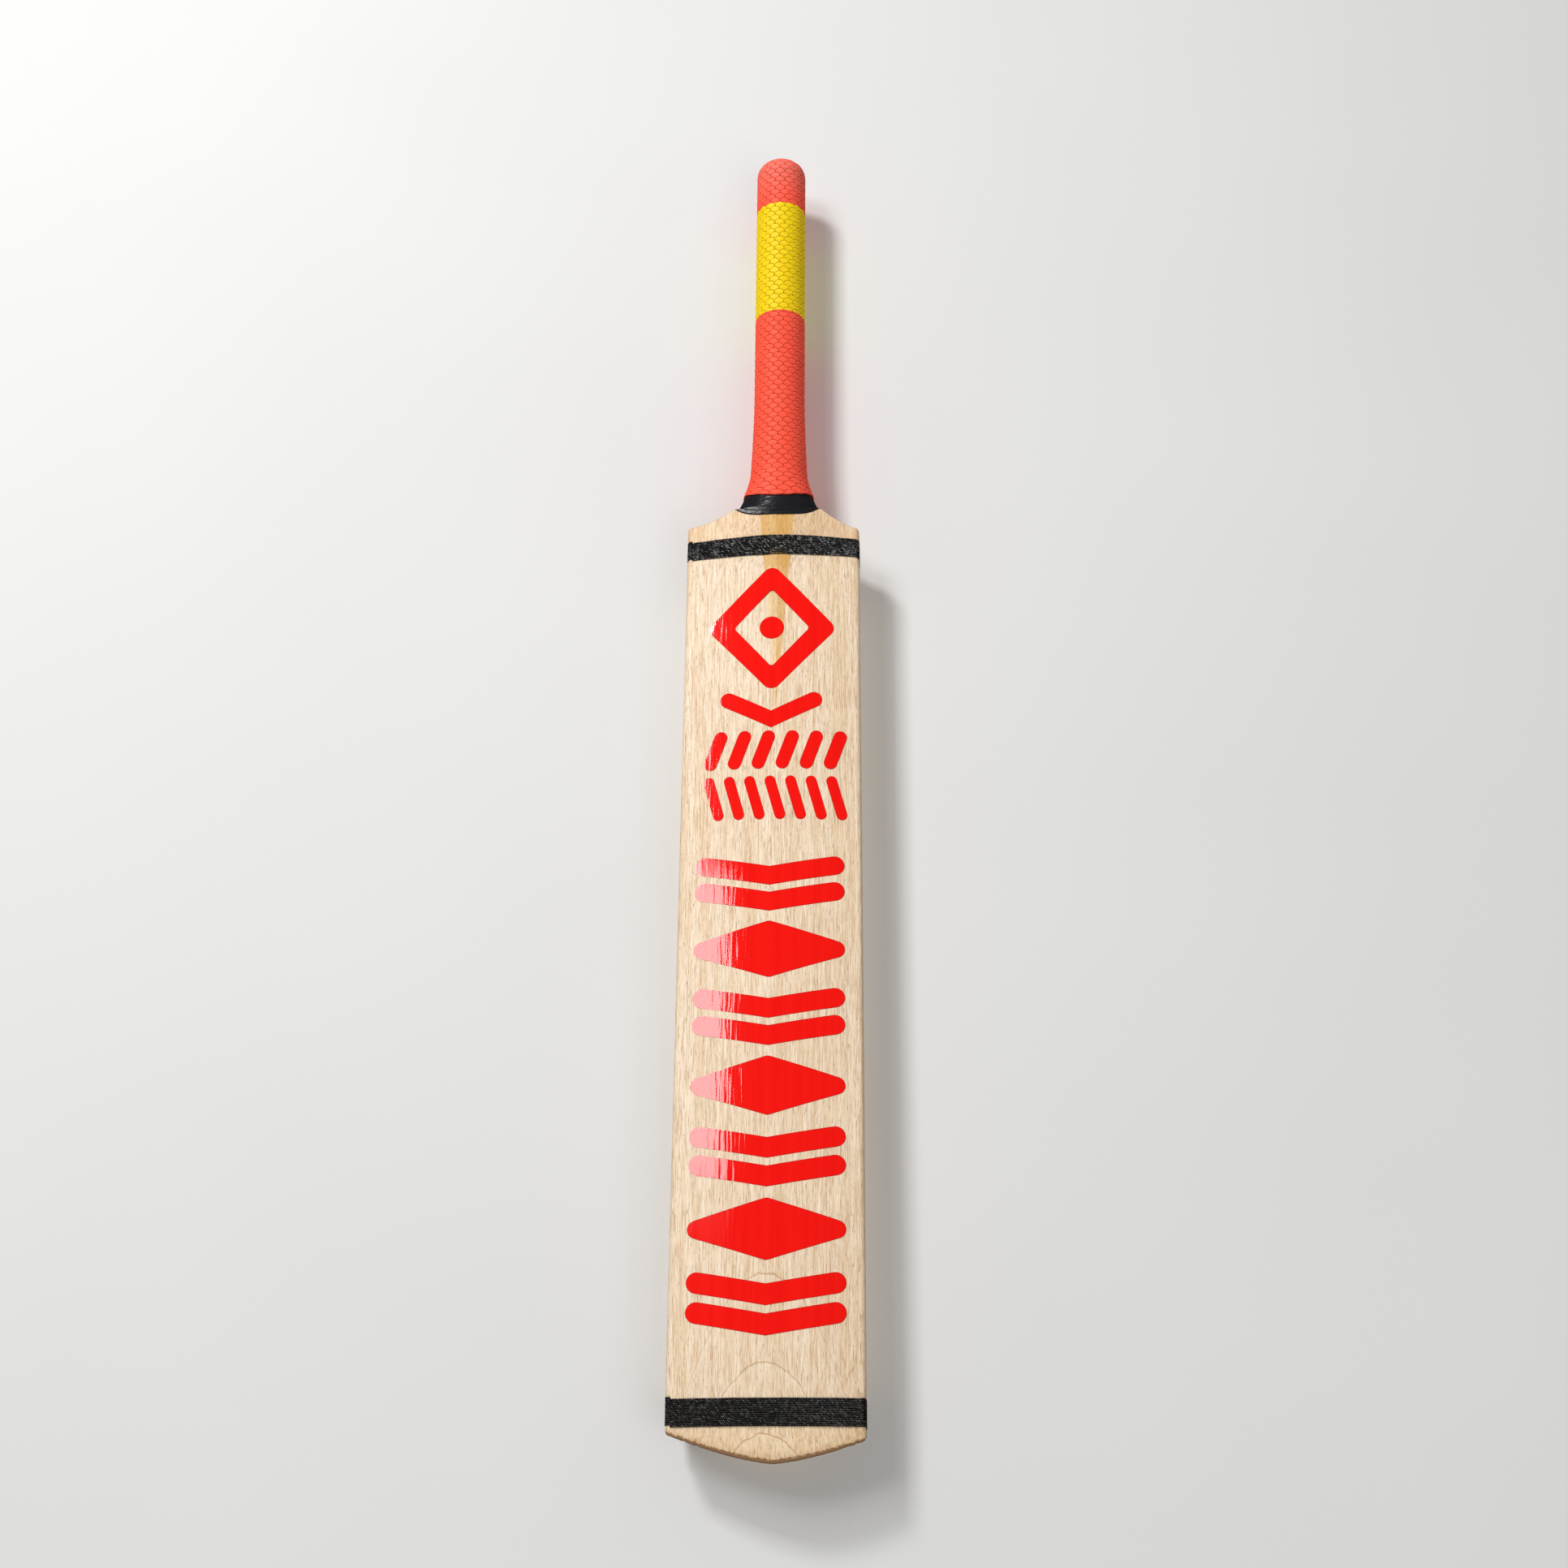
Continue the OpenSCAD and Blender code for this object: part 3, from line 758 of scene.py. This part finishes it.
def stroke(points, width):
    """Outline of a line through two or three points with round ends."""
    points = [np.array(p, float) for p in points]
    r = width / 2
    left, right = [], []
    for k, p in enumerate(points):
        into = p - points[k - 1] if k else points[1] - p
        out = points[k + 1] - p if k + 1 < len(points) else into
        into, out = into / np.linalg.norm(into), out / np.linalg.norm(out)
        across = np.array([-(into + out)[1], (into + out)[0]])
        across /= np.linalg.norm(across)
        reach = r / (across @ np.array([-into[1], into[0]]))
        left.append(tuple(p + across * reach))
        right.append(tuple(p - across * reach))
    first, final = points[1] - points[0], points[-1] - points[-2]
    end_angle = math.atan2(final[1], final[0])
    start_angle = math.atan2(first[1], first[0])
    cap_end = arc_points(points[-1], r, end_angle - math.pi / 2, end_angle + math.pi / 2, 10)
    cap_start = arc_points(points[0], r, start_angle + math.pi / 2, start_angle + 3 * math.pi / 2, 10)
    return right[1:-1] + cap_end + left[1:-1][::-1] + cap_start


def chevron(middle, length, drop, width):
    x, z = middle
    arm = (length - width) / 2
    return stroke([(x - arm, z + drop / 2), (x, z - drop / 2), (x + arm, z + drop / 2)], width)


def vinyl_sheet(low, high):
    """Thin closed sheet on the face between two heights, to be cut to the marks' outlines."""
    xs = np.linspace(-HALF_WIDTH * 0.92, HALF_WIDTH * 0.92, 60)
    zs = np.linspace(low, high, int((high - low) / 2.5) + 2)
    zz, xx = np.meshgrid(zs, xs, indexing="ij")
    lift = EMBLEM_LIFT * ease((zz - LIFT_FROM) / LIFT_RUN)
    outer = np.stack([xx, face_y(xx, zz) - GAP - VINYL - lift, zz], -1)
    inner = np.stack([xx, face_y(xx, zz) - GAP, zz], -1)
    ring = np.concatenate([outer, inner[:, ::-1]], axis=1)
    rows, cols = ring.shape[:2]
    faces = quads(rows, cols).tolist()
    half = cols // 2
    last = (rows - 1) * cols
    for k in range(half - 1):
        faces.append([k + 1, k, cols - 1 - k, cols - 2 - k])
        faces.append([last + k, last + k + 1, last + cols - 2 - k, last + cols - 1 - k])
    sheet = mesh_object("sheet", ring, faces)
    fix_normals(sheet)
    return sheet


def decal(name, outlines, material):
    low, high = box_mm("decal_" + name)
    piece = vinyl_sheet(low[2] - 3, high[2] + 3)
    piece.name = "vinyl_" + name
    carve(piece, "INTERSECT", prism(outlines))
    piece.data.name = piece.name
    shade(piece, 30)
    finish_piece(piece, material, "red_vinyl", "decal_" + name)


def slashes(node, count, width, lean):
    """A row of leaning strokes that fills the CAD node's box."""
    low, high = box_mm(node)
    x0, z0 = (low[0] + high[0]) / 2, (low[2] + high[2]) / 2
    half = (high[2] - low[2] - width) / 2
    pitch = (high[0] - low[0] - width - abs(lean)) / (count - 1)
    rows = [x0 + (k - (count - 1) / 2) * pitch for k in range(count)]
    return [stroke([(x - lean / 2, z0 - half), (x + lean / 2, z0 + half)], width) for x in rows]


def build_decals(material):
    low, high = box_mm("decal_chevrons")
    length = high[0] - low[0]
    mark_height = 34.0
    first = low[2] + mark_height / 2
    pitch = (high[2] - low[2] - mark_height) / 6
    arm_width, between = 11.5, 4.5
    drop = mark_height - 2 * arm_width - between
    shift = (arm_width + between) / 2
    chevrons = [chevron((0, first + k * pitch + s * shift), length, drop, arm_width)
                for k in (0, 2, 4, 6) for s in (-1, 1)]
    lozenges = [lozenge((0, first + k * pitch), length, mark_height, 5) for k in (1, 3, 5)]
    decal("chevrons", chevrons, material)
    decal("lozenges", lozenges, material)
    decal("slashes_upper", slashes("decal_slashes_upper", 6, 8.0, 6.0), material)
    decal("slashes_lower", slashes("decal_slashes_lower", 7, 6.5, -6.0), material)
    low, high = box_mm("decal_emblem")
    frame_length, frame_height, inset = high[0] - low[0], 82.0, 31.0
    middle = (0, high[2] - frame_height / 2)
    outer = lozenge(middle, frame_length, frame_height, 6)
    inner = lozenge(middle, frame_length - inset, frame_height - inset, 2)
    disc = arc_points(middle, 7.5, 0, 2 * math.pi * 47 / 48, 48)
    foot = chevron((0, low[2] + 11.5), 62, 13, 10)
    decal("emblem", [(outer, inner), disc, foot], material)


# ---------- materials ----------

class Nodes:
    """Short names for building a material's node tree."""

    def __init__(self, name):
        self.material = bpy.data.materials.new(name)
        self.material.use_nodes = True
        self.tree = self.material.node_tree
        self.tree.nodes.clear()
        self.shader = self.add("BsdfPrincipled")
        self.out = self.add("OutputMaterial")
        self.feed(self.out.inputs[0], self.shader.outputs[0])
        coords = self.add("TexCoord")
        self.place = self.vector("SCALE", coords.outputs["Object"], scale=1 / MM)
        split = self.add("SeparateXYZ")
        self.feed(split.inputs[0], self.place)
        self.x, self.y, self.z = split.outputs

    def add(self, kind):
        return self.tree.nodes.new("ShaderNode" + kind)

    def feed(self, socket, value):
        """Links a value that is a socket, and sets one that is a number or a colour."""
        if isinstance(value, bpy.types.NodeSocket):
            self.tree.links.new(value, socket)
        elif isinstance(value, (tuple, list)) and len(value) == 3 and socket.type == "RGBA":
            socket.default_value = (*value, 1)
        else:
            socket.default_value = value

    def vector(self, operation, a, b=None, scale=None):
        node = self.add("VectorMath")
        node.operation = operation
        self.feed(node.inputs[0], a)
        if b is not None:
            self.feed(node.inputs[1], b)
        if scale is not None:
            self.feed(node.inputs["Scale"], scale)
        return node.outputs[0]

    def math(self, operation, a, b=0.0):
        node = self.add("Math")
        node.operation = operation
        self.feed(node.inputs[0], a)
        self.feed(node.inputs[1], b)
        return node.outputs[0]

    def plus(self, a, b):
        return self.math("ADD", a, b)

    def minus(self, a, b):
        return self.math("SUBTRACT", a, b)

    def times(self, a, b):
        return self.math("MULTIPLY", a, b)

    def between(self, value, low, high, to_low=0.0, to_high=1.0):
        """Smooth step of value from low to high, as a share from to_low to to_high."""
        node = self.add("MapRange")
        node.interpolation_type = "SMOOTHSTEP"
        for name, given in (("Value", value), ("From Min", low), ("From Max", high),
                            ("To Min", to_low), ("To Max", to_high)):
            self.feed(node.inputs[name], given)
        return node.outputs[0]

    def stretch(self, x, y, z, place=None):
        """The place scaled per axis, so that a noise has that many swells per millimetre."""
        return self.vector("MULTIPLY", self.place if place is None else place, (x, y, z))

    def noise(self, place, detail=2.0, rough=0.5):
        node = self.add("TexNoise")
        self.feed(node.inputs["Vector"], place)
        for name, given in (("Scale", 1.0), ("Detail", detail), ("Roughness", rough)):
            self.feed(node.inputs[name], given)
        return node.outputs[0]

    def mix(self, share, a, b, blend="MIX"):
        node = self.add("Mix")
        node.data_type = "RGBA"
        node.blend_type = blend
        self.feed(node.inputs["Factor"], share)
        self.feed(node.inputs[6], a)
        self.feed(node.inputs[7], b)
        return node.outputs[2]

    def attribute(self, name):
        node = self.add("Attribute")
        node.attribute_name = name
        return node.outputs["Fac"]

    def facing(self):
        """Vertical part of the surface's direction, without bumps: 1 looks up, -1 looks down."""
        node = self.add("NewGeometry")
        split = self.add("SeparateXYZ")
        self.feed(split.inputs[0], node.outputs["Normal"])
        return split.outputs[2]

    def rim(self, radius_mm):
        """1 along the sharp edges of the piece, within a radius, 0 elsewhere."""
        node = self.add("Bevel")
        node.samples = 4
        node.inputs["Radius"].default_value = radius_mm * MM
        flat = self.add("NewGeometry")
        turn = self.add("VectorMath")
        turn.operation = "DOT_PRODUCT"
        self.feed(turn.inputs[0], node.outputs[0])
        self.feed(turn.inputs[1], flat.outputs["Normal"])
        return self.between(turn.outputs["Value"], 0.999, 0.93)

    def bump(self, height, distance_mm, strength=1.0):
        node = self.add("Bump")
        node.inputs["Strength"].default_value = strength
        node.inputs["Distance"].default_value = distance_mm * MM
        self.feed(node.inputs["Height"], height)
        return node.outputs[0]

    def finish(self, **values):
        for name, value in values.items():
            label = name.replace("_", " ").title().replace("Ior", "IOR")
            self.feed(self.shader.inputs[label], value)
        return self.material


def grain_streaks(n, place):
    """Fine and broad streaks along the grain, each 0 to 1."""
    fine = n.noise(n.stretch(1.7, 1.7, 0.035, place), detail=3.0, rough=0.6)
    broad = n.noise(n.stretch(0.28, 0.28, 0.007, place), detail=2.0)
    return fine, broad


def bent_grain(n, amount):
    """Place on the blade, shifted sideways so that the grain wanders as it climbs."""
    bend = n.noise(n.stretch(0.03, 0.03, 0.006), detail=1.0)
    joined = n.add("CombineXYZ")
    shift = n.times(n.minus(bend, 0.5), amount)
    for socket, value in zip(joined.inputs, (n.plus(n.x, shift), n.y, n.z)):
        n.feed(socket, value)
    return joined.outputs[0]


def growth_arches(n, colour):
    """Growth rings cut at a slant near the toe: thin arches round the centre line, paler inside."""
    ring = n.plus(n.z, n.math("DIVIDE", n.math("POWER", n.x, 2.0), 28.5))
    ripple = n.noise(n.stretch(0.16, 0.16, 0.16), detail=2.0)
    ring = n.plus(ring, n.times(n.minus(ripple, 0.5), 4.0))
    for height in (15.0, 52.0, 99.0):
        far = n.math("ABSOLUTE", n.minus(ring, height))
        line = n.between(far, 0.75, 0.1, 0.0, 0.7)
        below = n.times(n.between(ring, height, height - 0.6),
                       n.between(ring, height - 9.0, height - 1.0, 0.0, 0.32))
        colour = n.mix(below, colour, (0.88, 0.73, 0.55))
        colour = n.mix(line, colour, (0.50, 0.30, 0.15))
    return colour


def wood_material():
    n = Nodes("blade_wood")
    place = bent_grain(n, 9.0)
    fine, broad = grain_streaks(n, place)
    short = n.noise(n.stretch(2.7, 2.7, 0.075, place), detail=3.0, rough=0.65)
    pores = n.noise(n.stretch(3.0, 3.0, 0.20, place), detail=1.0)
    pale, mid, dark = (0.865, 0.705, 0.525), (0.790, 0.600, 0.400), (0.54, 0.34, 0.18)
    colour = n.mix(n.between(broad, 0.36, 0.64), pale, mid)
    colour = n.mix(n.between(fine, 0.50, 0.66, 0.0, 0.55), colour, dark)
    colour = n.mix(n.between(short, 0.51, 0.64, 0.0, 0.75), colour, dark)
    colour = n.mix(n.between(short, 0.47, 0.34, 0.0, 0.55), colour, (0.97, 0.87, 0.72))
    pore = n.between(pores, 0.66, 0.72)
    colour = n.mix(n.times(pore, 0.6), colour, (0.34, 0.17, 0.075))
    colour = growth_arches(n, colour)
    # darker and warmer beyond the two bindings
    colour = n.mix(n.between(n.z, 542, 550), colour, (0.96, 0.875, 0.77), "MULTIPLY")
    colour = n.mix(n.between(n.z, 30, 22), colour, (1.0, 0.96, 0.87), "MULTIPLY")
    # brown smudges on the right above the toe
    smudge = n.noise(n.stretch(0.35, 0.35, 0.16), detail=3.0)
    spot = n.times(n.between(n.x, 24.0, 42.0), n.between(n.z, 78.0, 30.0))
    spot = n.times(spot, n.between(smudge, 0.52, 0.66, 0.0, 0.6))
    colour = n.mix(spot, colour, (0.52, 0.31, 0.14))
    # end grain: brown on the shoulders; nearly black under the toe and along a ragged edge on the face,
    # darker end grain with painted shade
    up = n.facing()
    colour = n.mix(n.between(up, 0.12, 0.75, 0.0, 0.8), colour, (0.62, 0.33, 0.12))
    tip = n.math("ABSOLUTE", n.math("DIVIDE", n.minus(n.x, TOE_OFFSET), HALF_WIDTH))
    toe = n.times(n.math("POWER", tip, TOE_POWER), TOE_RISE)
    ragged = n.noise(n.stretch(0.7, 0.2, 0.7), detail=4.0, rough=0.7)
    above = n.plus(n.minus(n.z, toe), n.times(ragged, -4.6))
    wear_and_painted_light = n.math("MAXIMUM", n.between(above, 0.6, -0.5), n.between(up, -0.15, -0.6))
    colour = n.mix(n.times(wear_and_painted_light, 0.95), colour, (0.085, 0.032, 0.014))
    stain = n.between(above, 5.0, 0.0, 0.0, 0.35)
    colour = n.mix(stain, colour, (0.52, 0.29, 0.12))
    bumps = n.plus(n.times(short, -0.9), n.times(pore, -0.9))
    normal = n.bump(bumps, 0.16, 0.8)
    return n.finish(base_color=colour, roughness=n.between(fine, 0.3, 0.8, 0.42, 0.58),
                    normal=normal, specular_ior_level=0.30)


def cane_material(name, tone, pale):
    n = Nodes(name)
    fine = n.noise(n.stretch(2.4, 2.4, 0.10), detail=3.0, rough=0.65)
    broad = n.noise(n.stretch(0.5, 0.5, 0.03), detail=2.0)
    vessels = n.between(n.noise(n.stretch(3.2, 3.2, 0.16), detail=1.0), 0.60, 0.68)
    base = n.mix(n.between(n.plus(n.z, n.times(broad, 14.0)), 536, 540), pale, tone)
    colour = n.mix(n.between(broad, 0.35, 0.7, 0.0, 0.45), base, tuple(0.8 * v for v in tone))
    colour = n.mix(n.between(fine, 0.4, 0.8, 0.0, 0.4), colour, tuple(0.6 * v for v in tone))
    colour = n.mix(n.times(vessels, 0.6), colour, tuple(0.35 * v for v in tone))
    return n.finish(base_color=colour, roughness=0.48, specular_ior_level=0.25,
                    normal=n.bump(vessels, -0.08, 0.5))


def rubber_material(name, base, deep, dust):
    n = Nodes(name)
    blotch = n.noise(n.stretch(0.09, 0.09, 0.05), detail=3.0)
    speck = n.noise(n.stretch(3.5, 3.5, 3.5), detail=2.0)
    colour = n.mix(n.between(blotch, 0.35, 0.7, 0.0, 0.5), base, deep)
    wear_and_painted_light = n.between(n.z, BAT_LENGTH - 44, BAT_LENGTH - 6, 0.0, 0.55)
    colour = n.mix(wear_and_painted_light, colour, dust)
    groove = n.attribute("groove")
    # lighter lips of the scales: painted highlight and wear
    lip = tuple(min(1.0, 1.12 * v + 0.015) for v in base)
    colour = n.mix(n.between(groove, -0.05, -0.6, 0.0, 0.8), colour, lip)
    # darker grooves between the scales: painted shade
    colour = n.mix(n.between(groove, 0.05, 0.85, 0.0, 0.68), colour, tuple(0.30 * v for v in deep))
    return n.finish(base_color=colour, roughness=n.between(speck, 0.3, 0.7, 0.42, 0.56),
                    normal=n.bump(speck, 0.05, 0.5), specular_ior_level=0.12)


def tape_material():
    n = Nodes("black_tape")
    ripple = n.noise(n.stretch(0.25, 0.25, 0.8), detail=2.0)
    fine = n.noise(n.stretch(2.0, 2.0, 2.0), detail=2.0)
    colour = n.mix(n.between(fine, 0.4, 0.8), (0.010, 0.010, 0.012), (0.022, 0.022, 0.025))
    return n.finish(base_color=colour, roughness=n.between(fine, 0.3, 0.8, 0.22, 0.32),
                    normal=n.bump(ripple, 0.5, 0.5), specular_ior_level=0.22)


def cord_material():
    n = Nodes("black_cord")
    uv = n.add("UVMap")
    uv.uv_map = "cord"
    split = n.add("SeparateXYZ")
    n.feed(split.inputs[0], uv.outputs[0])
    # turns round the cord, 0 on its outer side
    turn = n.minus(n.math("FRACT", n.plus(split.outputs[1], 0.5)), 0.5)
    lay = n.plus(n.times(turn, 2.0), n.math("DIVIDE", split.outputs[0], CORD_LAY))
    strand = n.math("ABSOLUTE", n.math("COSINE", n.times(lay, math.pi)))
    outward = n.math("COSINE", n.times(turn, 2 * math.pi))
    fibre = n.noise(n.stretch(1.6, 1.6, 1.6), detail=2.0)
    wear_and_painted_light = n.noise(n.stretch(0.5, 0.5, 0.5), detail=2.0)
    chance = n.add("TexWhiteNoise")
    chance.noise_dimensions = "1D"
    n.feed(chance.inputs["W"], n.math("FLOOR", n.plus(lay, 0.5)))
    # brightness of each strand's painted highlight, stronger in patches
    spark = n.times(n.math("POWER", chance.outputs["Value"], 3.0),
                   n.between(wear_and_painted_light, 0.36, 0.58, 0.6, 1.0))
    crest = n.times(n.between(strand, 0.25, 0.9), n.between(outward, 0.1, 0.8))
    # painted highlights, broken up by the fibres, and duller on the toe's cord
    spark = n.times(spark, n.between(fibre, 0.38, 0.60, 0.25, 1.0))
    glint = n.times(n.times(crest, spark), n.between(n.z, 60, 500, 0.32, 1.0))
    # darker between the strands: painted shade in the valleys of the cord
    colour = n.mix(n.between(strand, 0.1, 0.7), (0.0015, 0.0015, 0.0015), (0.008, 0.0076, 0.0076))
    # painted highlights on the outer crest of each strand
    colour = n.mix(glint, colour, (0.58, 0.57, 0.56))
    height = n.plus(strand, n.times(fibre, 0.4))
    return n.finish(base_color=colour, roughness=0.38, normal=n.bump(height, 0.25, 0.9),
                    specular_ior_level=0.35)


def vinyl_material():
    """Glossy red film that lies in the wood's grain and shows it in its reflections."""
    n = Nodes("red_vinyl")
    fine, broad = grain_streaks(n, n.place)
    swells = n.noise(n.stretch(0.45, 0.45, 0.035), detail=1.5)
    height = n.plus(n.times(fine, 0.04), swells)
    tint = n.mix(n.between(broad, 0.3, 0.7), (0.91, 0.0085, 0.0050), (0.86, 0.0065, 0.0040))
    # dark line along the film's cut edges: painted shade
    tint = n.mix(n.times(n.rim(0.6), 0.95), tint, (0.11, 0.006, 0.004))
    return n.finish(base_color=tint, roughness=0.07, normal=n.bump(height, 0.14, 0.9),
                    specular_ior_level=0.5)


def plain_rubber_material():
    n = Nodes("spring_rubber")
    grit = n.noise(n.stretch(2.0, 2.0, 2.0), detail=3.0)
    return n.finish(base_color=n.mix(grit, (0.03, 0.028, 0.026), (0.06, 0.055, 0.05)),
                    roughness=0.7, normal=n.bump(grit, 0.1))


def twine_material():
    n = Nodes("twine")
    turn = n.math("SINE", n.times(n.z, 2 * math.pi / 0.8))
    fibre = n.noise(n.stretch(4.0, 4.0, 4.0), detail=2.0)
    # darker between the turns: painted shade in the grooves between them
    colour = n.mix(n.between(turn, -1.0, 1.0), (0.42, 0.37, 0.28), (0.75, 0.70, 0.58))
    return n.finish(base_color=n.mix(n.times(fibre, 0.3), colour, (0.5, 0.44, 0.34)),
                    roughness=0.8, normal=n.bump(turn, 0.3))


# ---------- build ----------

def dress(nodes, material):
    """Gives a material to CAD nodes that stay as they are."""
    for node in nodes:
        slots = frame["nodes"][node].material_slots
        if not slots:
            frame["nodes"][node].data.materials.append(material)
        for slot in slots:
            slot.material = material


RED, DEEP_RED, DUSTY_RED = (0.99, 0.106, 0.058), (0.93, 0.076, 0.042), (0.82, 0.23, 0.18)
YELLOW, DEEP_YELLOW = (0.89, 0.63, 0.006), (0.83, 0.56, 0.004)
CANE_TONES = ((0.72, 0.41, 0.13), (0.76, 0.46, 0.17), (0.71, 0.40, 0.12), (0.74, 0.44, 0.15))
CANE_PALE = ((0.86, 0.63, 0.37), (0.86, 0.64, 0.38), (0.76, 0.48, 0.21), (0.86, 0.63, 0.37))

build_blade(wood_material())
build_grip(rubber_material("grip_red", RED, DEEP_RED, DUSTY_RED),
           rubber_material("grip_yellow", YELLOW, DEEP_YELLOW, YELLOW))
build_collar(tape_material())
cord = cord_material()
build_binding("shoulder_cord", "shoulder_binding", cord, 21)
build_binding("toe_cord", "toe_binding", cord, 22)
build_decals(vinyl_material())
for number, (tone, pale) in enumerate(zip(CANE_TONES, CANE_PALE), 1):
    cane = cane_material(f"cane_{number}", tone, pale)
    dress([f"cane_{row}_{number}" for row in ("front", "middle", "back")], cane)
dress(["rubber_front", "rubber_back"], plain_rubber_material())
dress(["handle_twine"], twine_material())


# ---------- studio ----------

ROLL = 3.68                   # the bat lies a little over on one side, in degrees


def backdrop():
    """A pale sheet behind the bat's spine that is seen from the front only and throws no shadow."""
    half = 4.0
    mesh = bpy.data.meshes.new("backdrop")
    mesh.from_pydata([(-half, 0, -half), (half, 0, -half), (half, 0, half), (-half, 0, half)],
                     [], [(0, 1, 2, 3)])
    sheet = add_object("backdrop", mesh)
    sheet.location = (0, cad_box[1][1] + 0.0015, 0)
    sheet.rotation_euler = (0, 0, math.radians(ROLL))
    n = Nodes("backdrop")
    mottle = n.noise(n.stretch(0.004, 0.004, 0.004), detail=2.0)
    n.finish(base_color=n.mix(mottle, (0.68, 0.68, 0.675), (0.72, 0.72, 0.715)), roughness=0.9)
    clear = n.add("BsdfTransparent")
    facing = n.add("NewGeometry")
    choose = n.add("MixShader")
    n.feed(choose.inputs[0], facing.outputs["Backfacing"])
    n.feed(choose.inputs[1], n.shader.outputs[0])
    n.feed(choose.inputs[2], clear.outputs[0])
    n.feed(n.out.inputs[0], choose.outputs[0])
    mesh.materials.append(n.material)
    sheet.visible_shadow = False
    sheet.visible_diffuse = False
    sheet.visible_glossy = False


def softbox(name, azimuth, elevation, distance, width, height, radiance, aim, mirrored=False):
    """A rectangular lamp, at an azimuth counted from the face towards +X; it may be hidden to mirrors."""
    a, e = math.radians(azimuth), math.radians(elevation)
    place = Vector(aim) + distance * Vector((math.sin(a) * math.cos(e), -math.cos(a) * math.cos(e),
                                             math.sin(e)))
    lamp = bpy.data.lights.new(name, "AREA")
    lamp.shape = "RECTANGLE"
    lamp.size, lamp.size_y = width, height
    lamp.energy = radiance * math.pi * width * height
    obj = add_object(name, lamp)
    obj.location = place
    obj.rotation_euler = (place - Vector(aim)).to_track_quat("Z", "Y").to_euler()
    obj.visible_glossy = mirrored


def world(radiance, mirrored):
    """Even light from all round; mirrors see only a share of it, like a dim room."""
    scene_world = bpy.data.worlds.new("studio")
    scene_world.use_nodes = True
    tree = scene_world.node_tree
    background = tree.nodes["Background"]
    background.inputs["Color"].default_value = (*radiance, 1)
    path = tree.nodes.new("ShaderNodeLightPath")
    share = tree.nodes.new("ShaderNodeMapRange")
    tree.links.new(path.outputs["Is Glossy Ray"], share.inputs["Value"])
    share.inputs["To Min"].default_value = 1.0
    share.inputs["To Max"].default_value = mirrored
    tree.links.new(share.outputs[0], background.inputs["Strength"])
    bpy.context.scene.world = scene_world


def camera():
    """The camera stands over the toe, looks up the bat and a little to the left."""
    tilt, pan, turn = math.radians(22.257), math.radians(-3.274), math.radians(0.392)
    ahead = Vector((math.sin(pan) * math.cos(tilt), math.cos(pan) * math.cos(tilt), math.sin(tilt)))
    right = ahead.cross(Vector((0, 0, 1))).normalized()
    up = right.cross(ahead)
    right, up = (math.cos(turn) * right + math.sin(turn) * up,
                 math.cos(turn) * up - math.sin(turn) * right)
    data = bpy.data.cameras.new("camera")
    data.sensor_width = 36.0
    data.lens = 48.11
    obj = add_object("camera", data)
    spot = Vector((74.2, -1154.2 + FACE_PLANE, -86.7)) * MM
    turned = Matrix((right, up, -ahead)).transposed().to_4x4()
    obj.matrix_world = Matrix.Translation(spot) @ turned
    bpy.context.scene.camera = obj


middle = (0.0, 0.0, 0.40)
low_left = (-0.035, 0.0, 0.26)
backdrop()
# azimuth and elevation in degrees, distance, width and height in metres, radiance, aim
softbox("key", -28, 33, 2.6, 0.45, 0.45, 56.0, middle, True)
softbox("window", -23.5, 15, 2.5, 0.74, 0.56, 11.0, low_left, True)
softbox("window_top", -28, 24.5, 2.5, 0.44, 0.30, 11.0, low_left, True)
softbox("fill", 30, -24, 2.2, 1.3, 1.3, 1.7, (0.0, 0.0, 0.12))
softbox("back_key", 155, 32, 2.4, 1.4, 1.4, 4.5, middle)
softbox("back_fill", -150, 10, 2.4, 1.4, 1.4, 3.0, middle)
world((0.36, 0.358, 0.355), 0.12)
camera()
view = bpy.context.scene.view_settings
view.view_transform = "Standard"
view.look = "None"
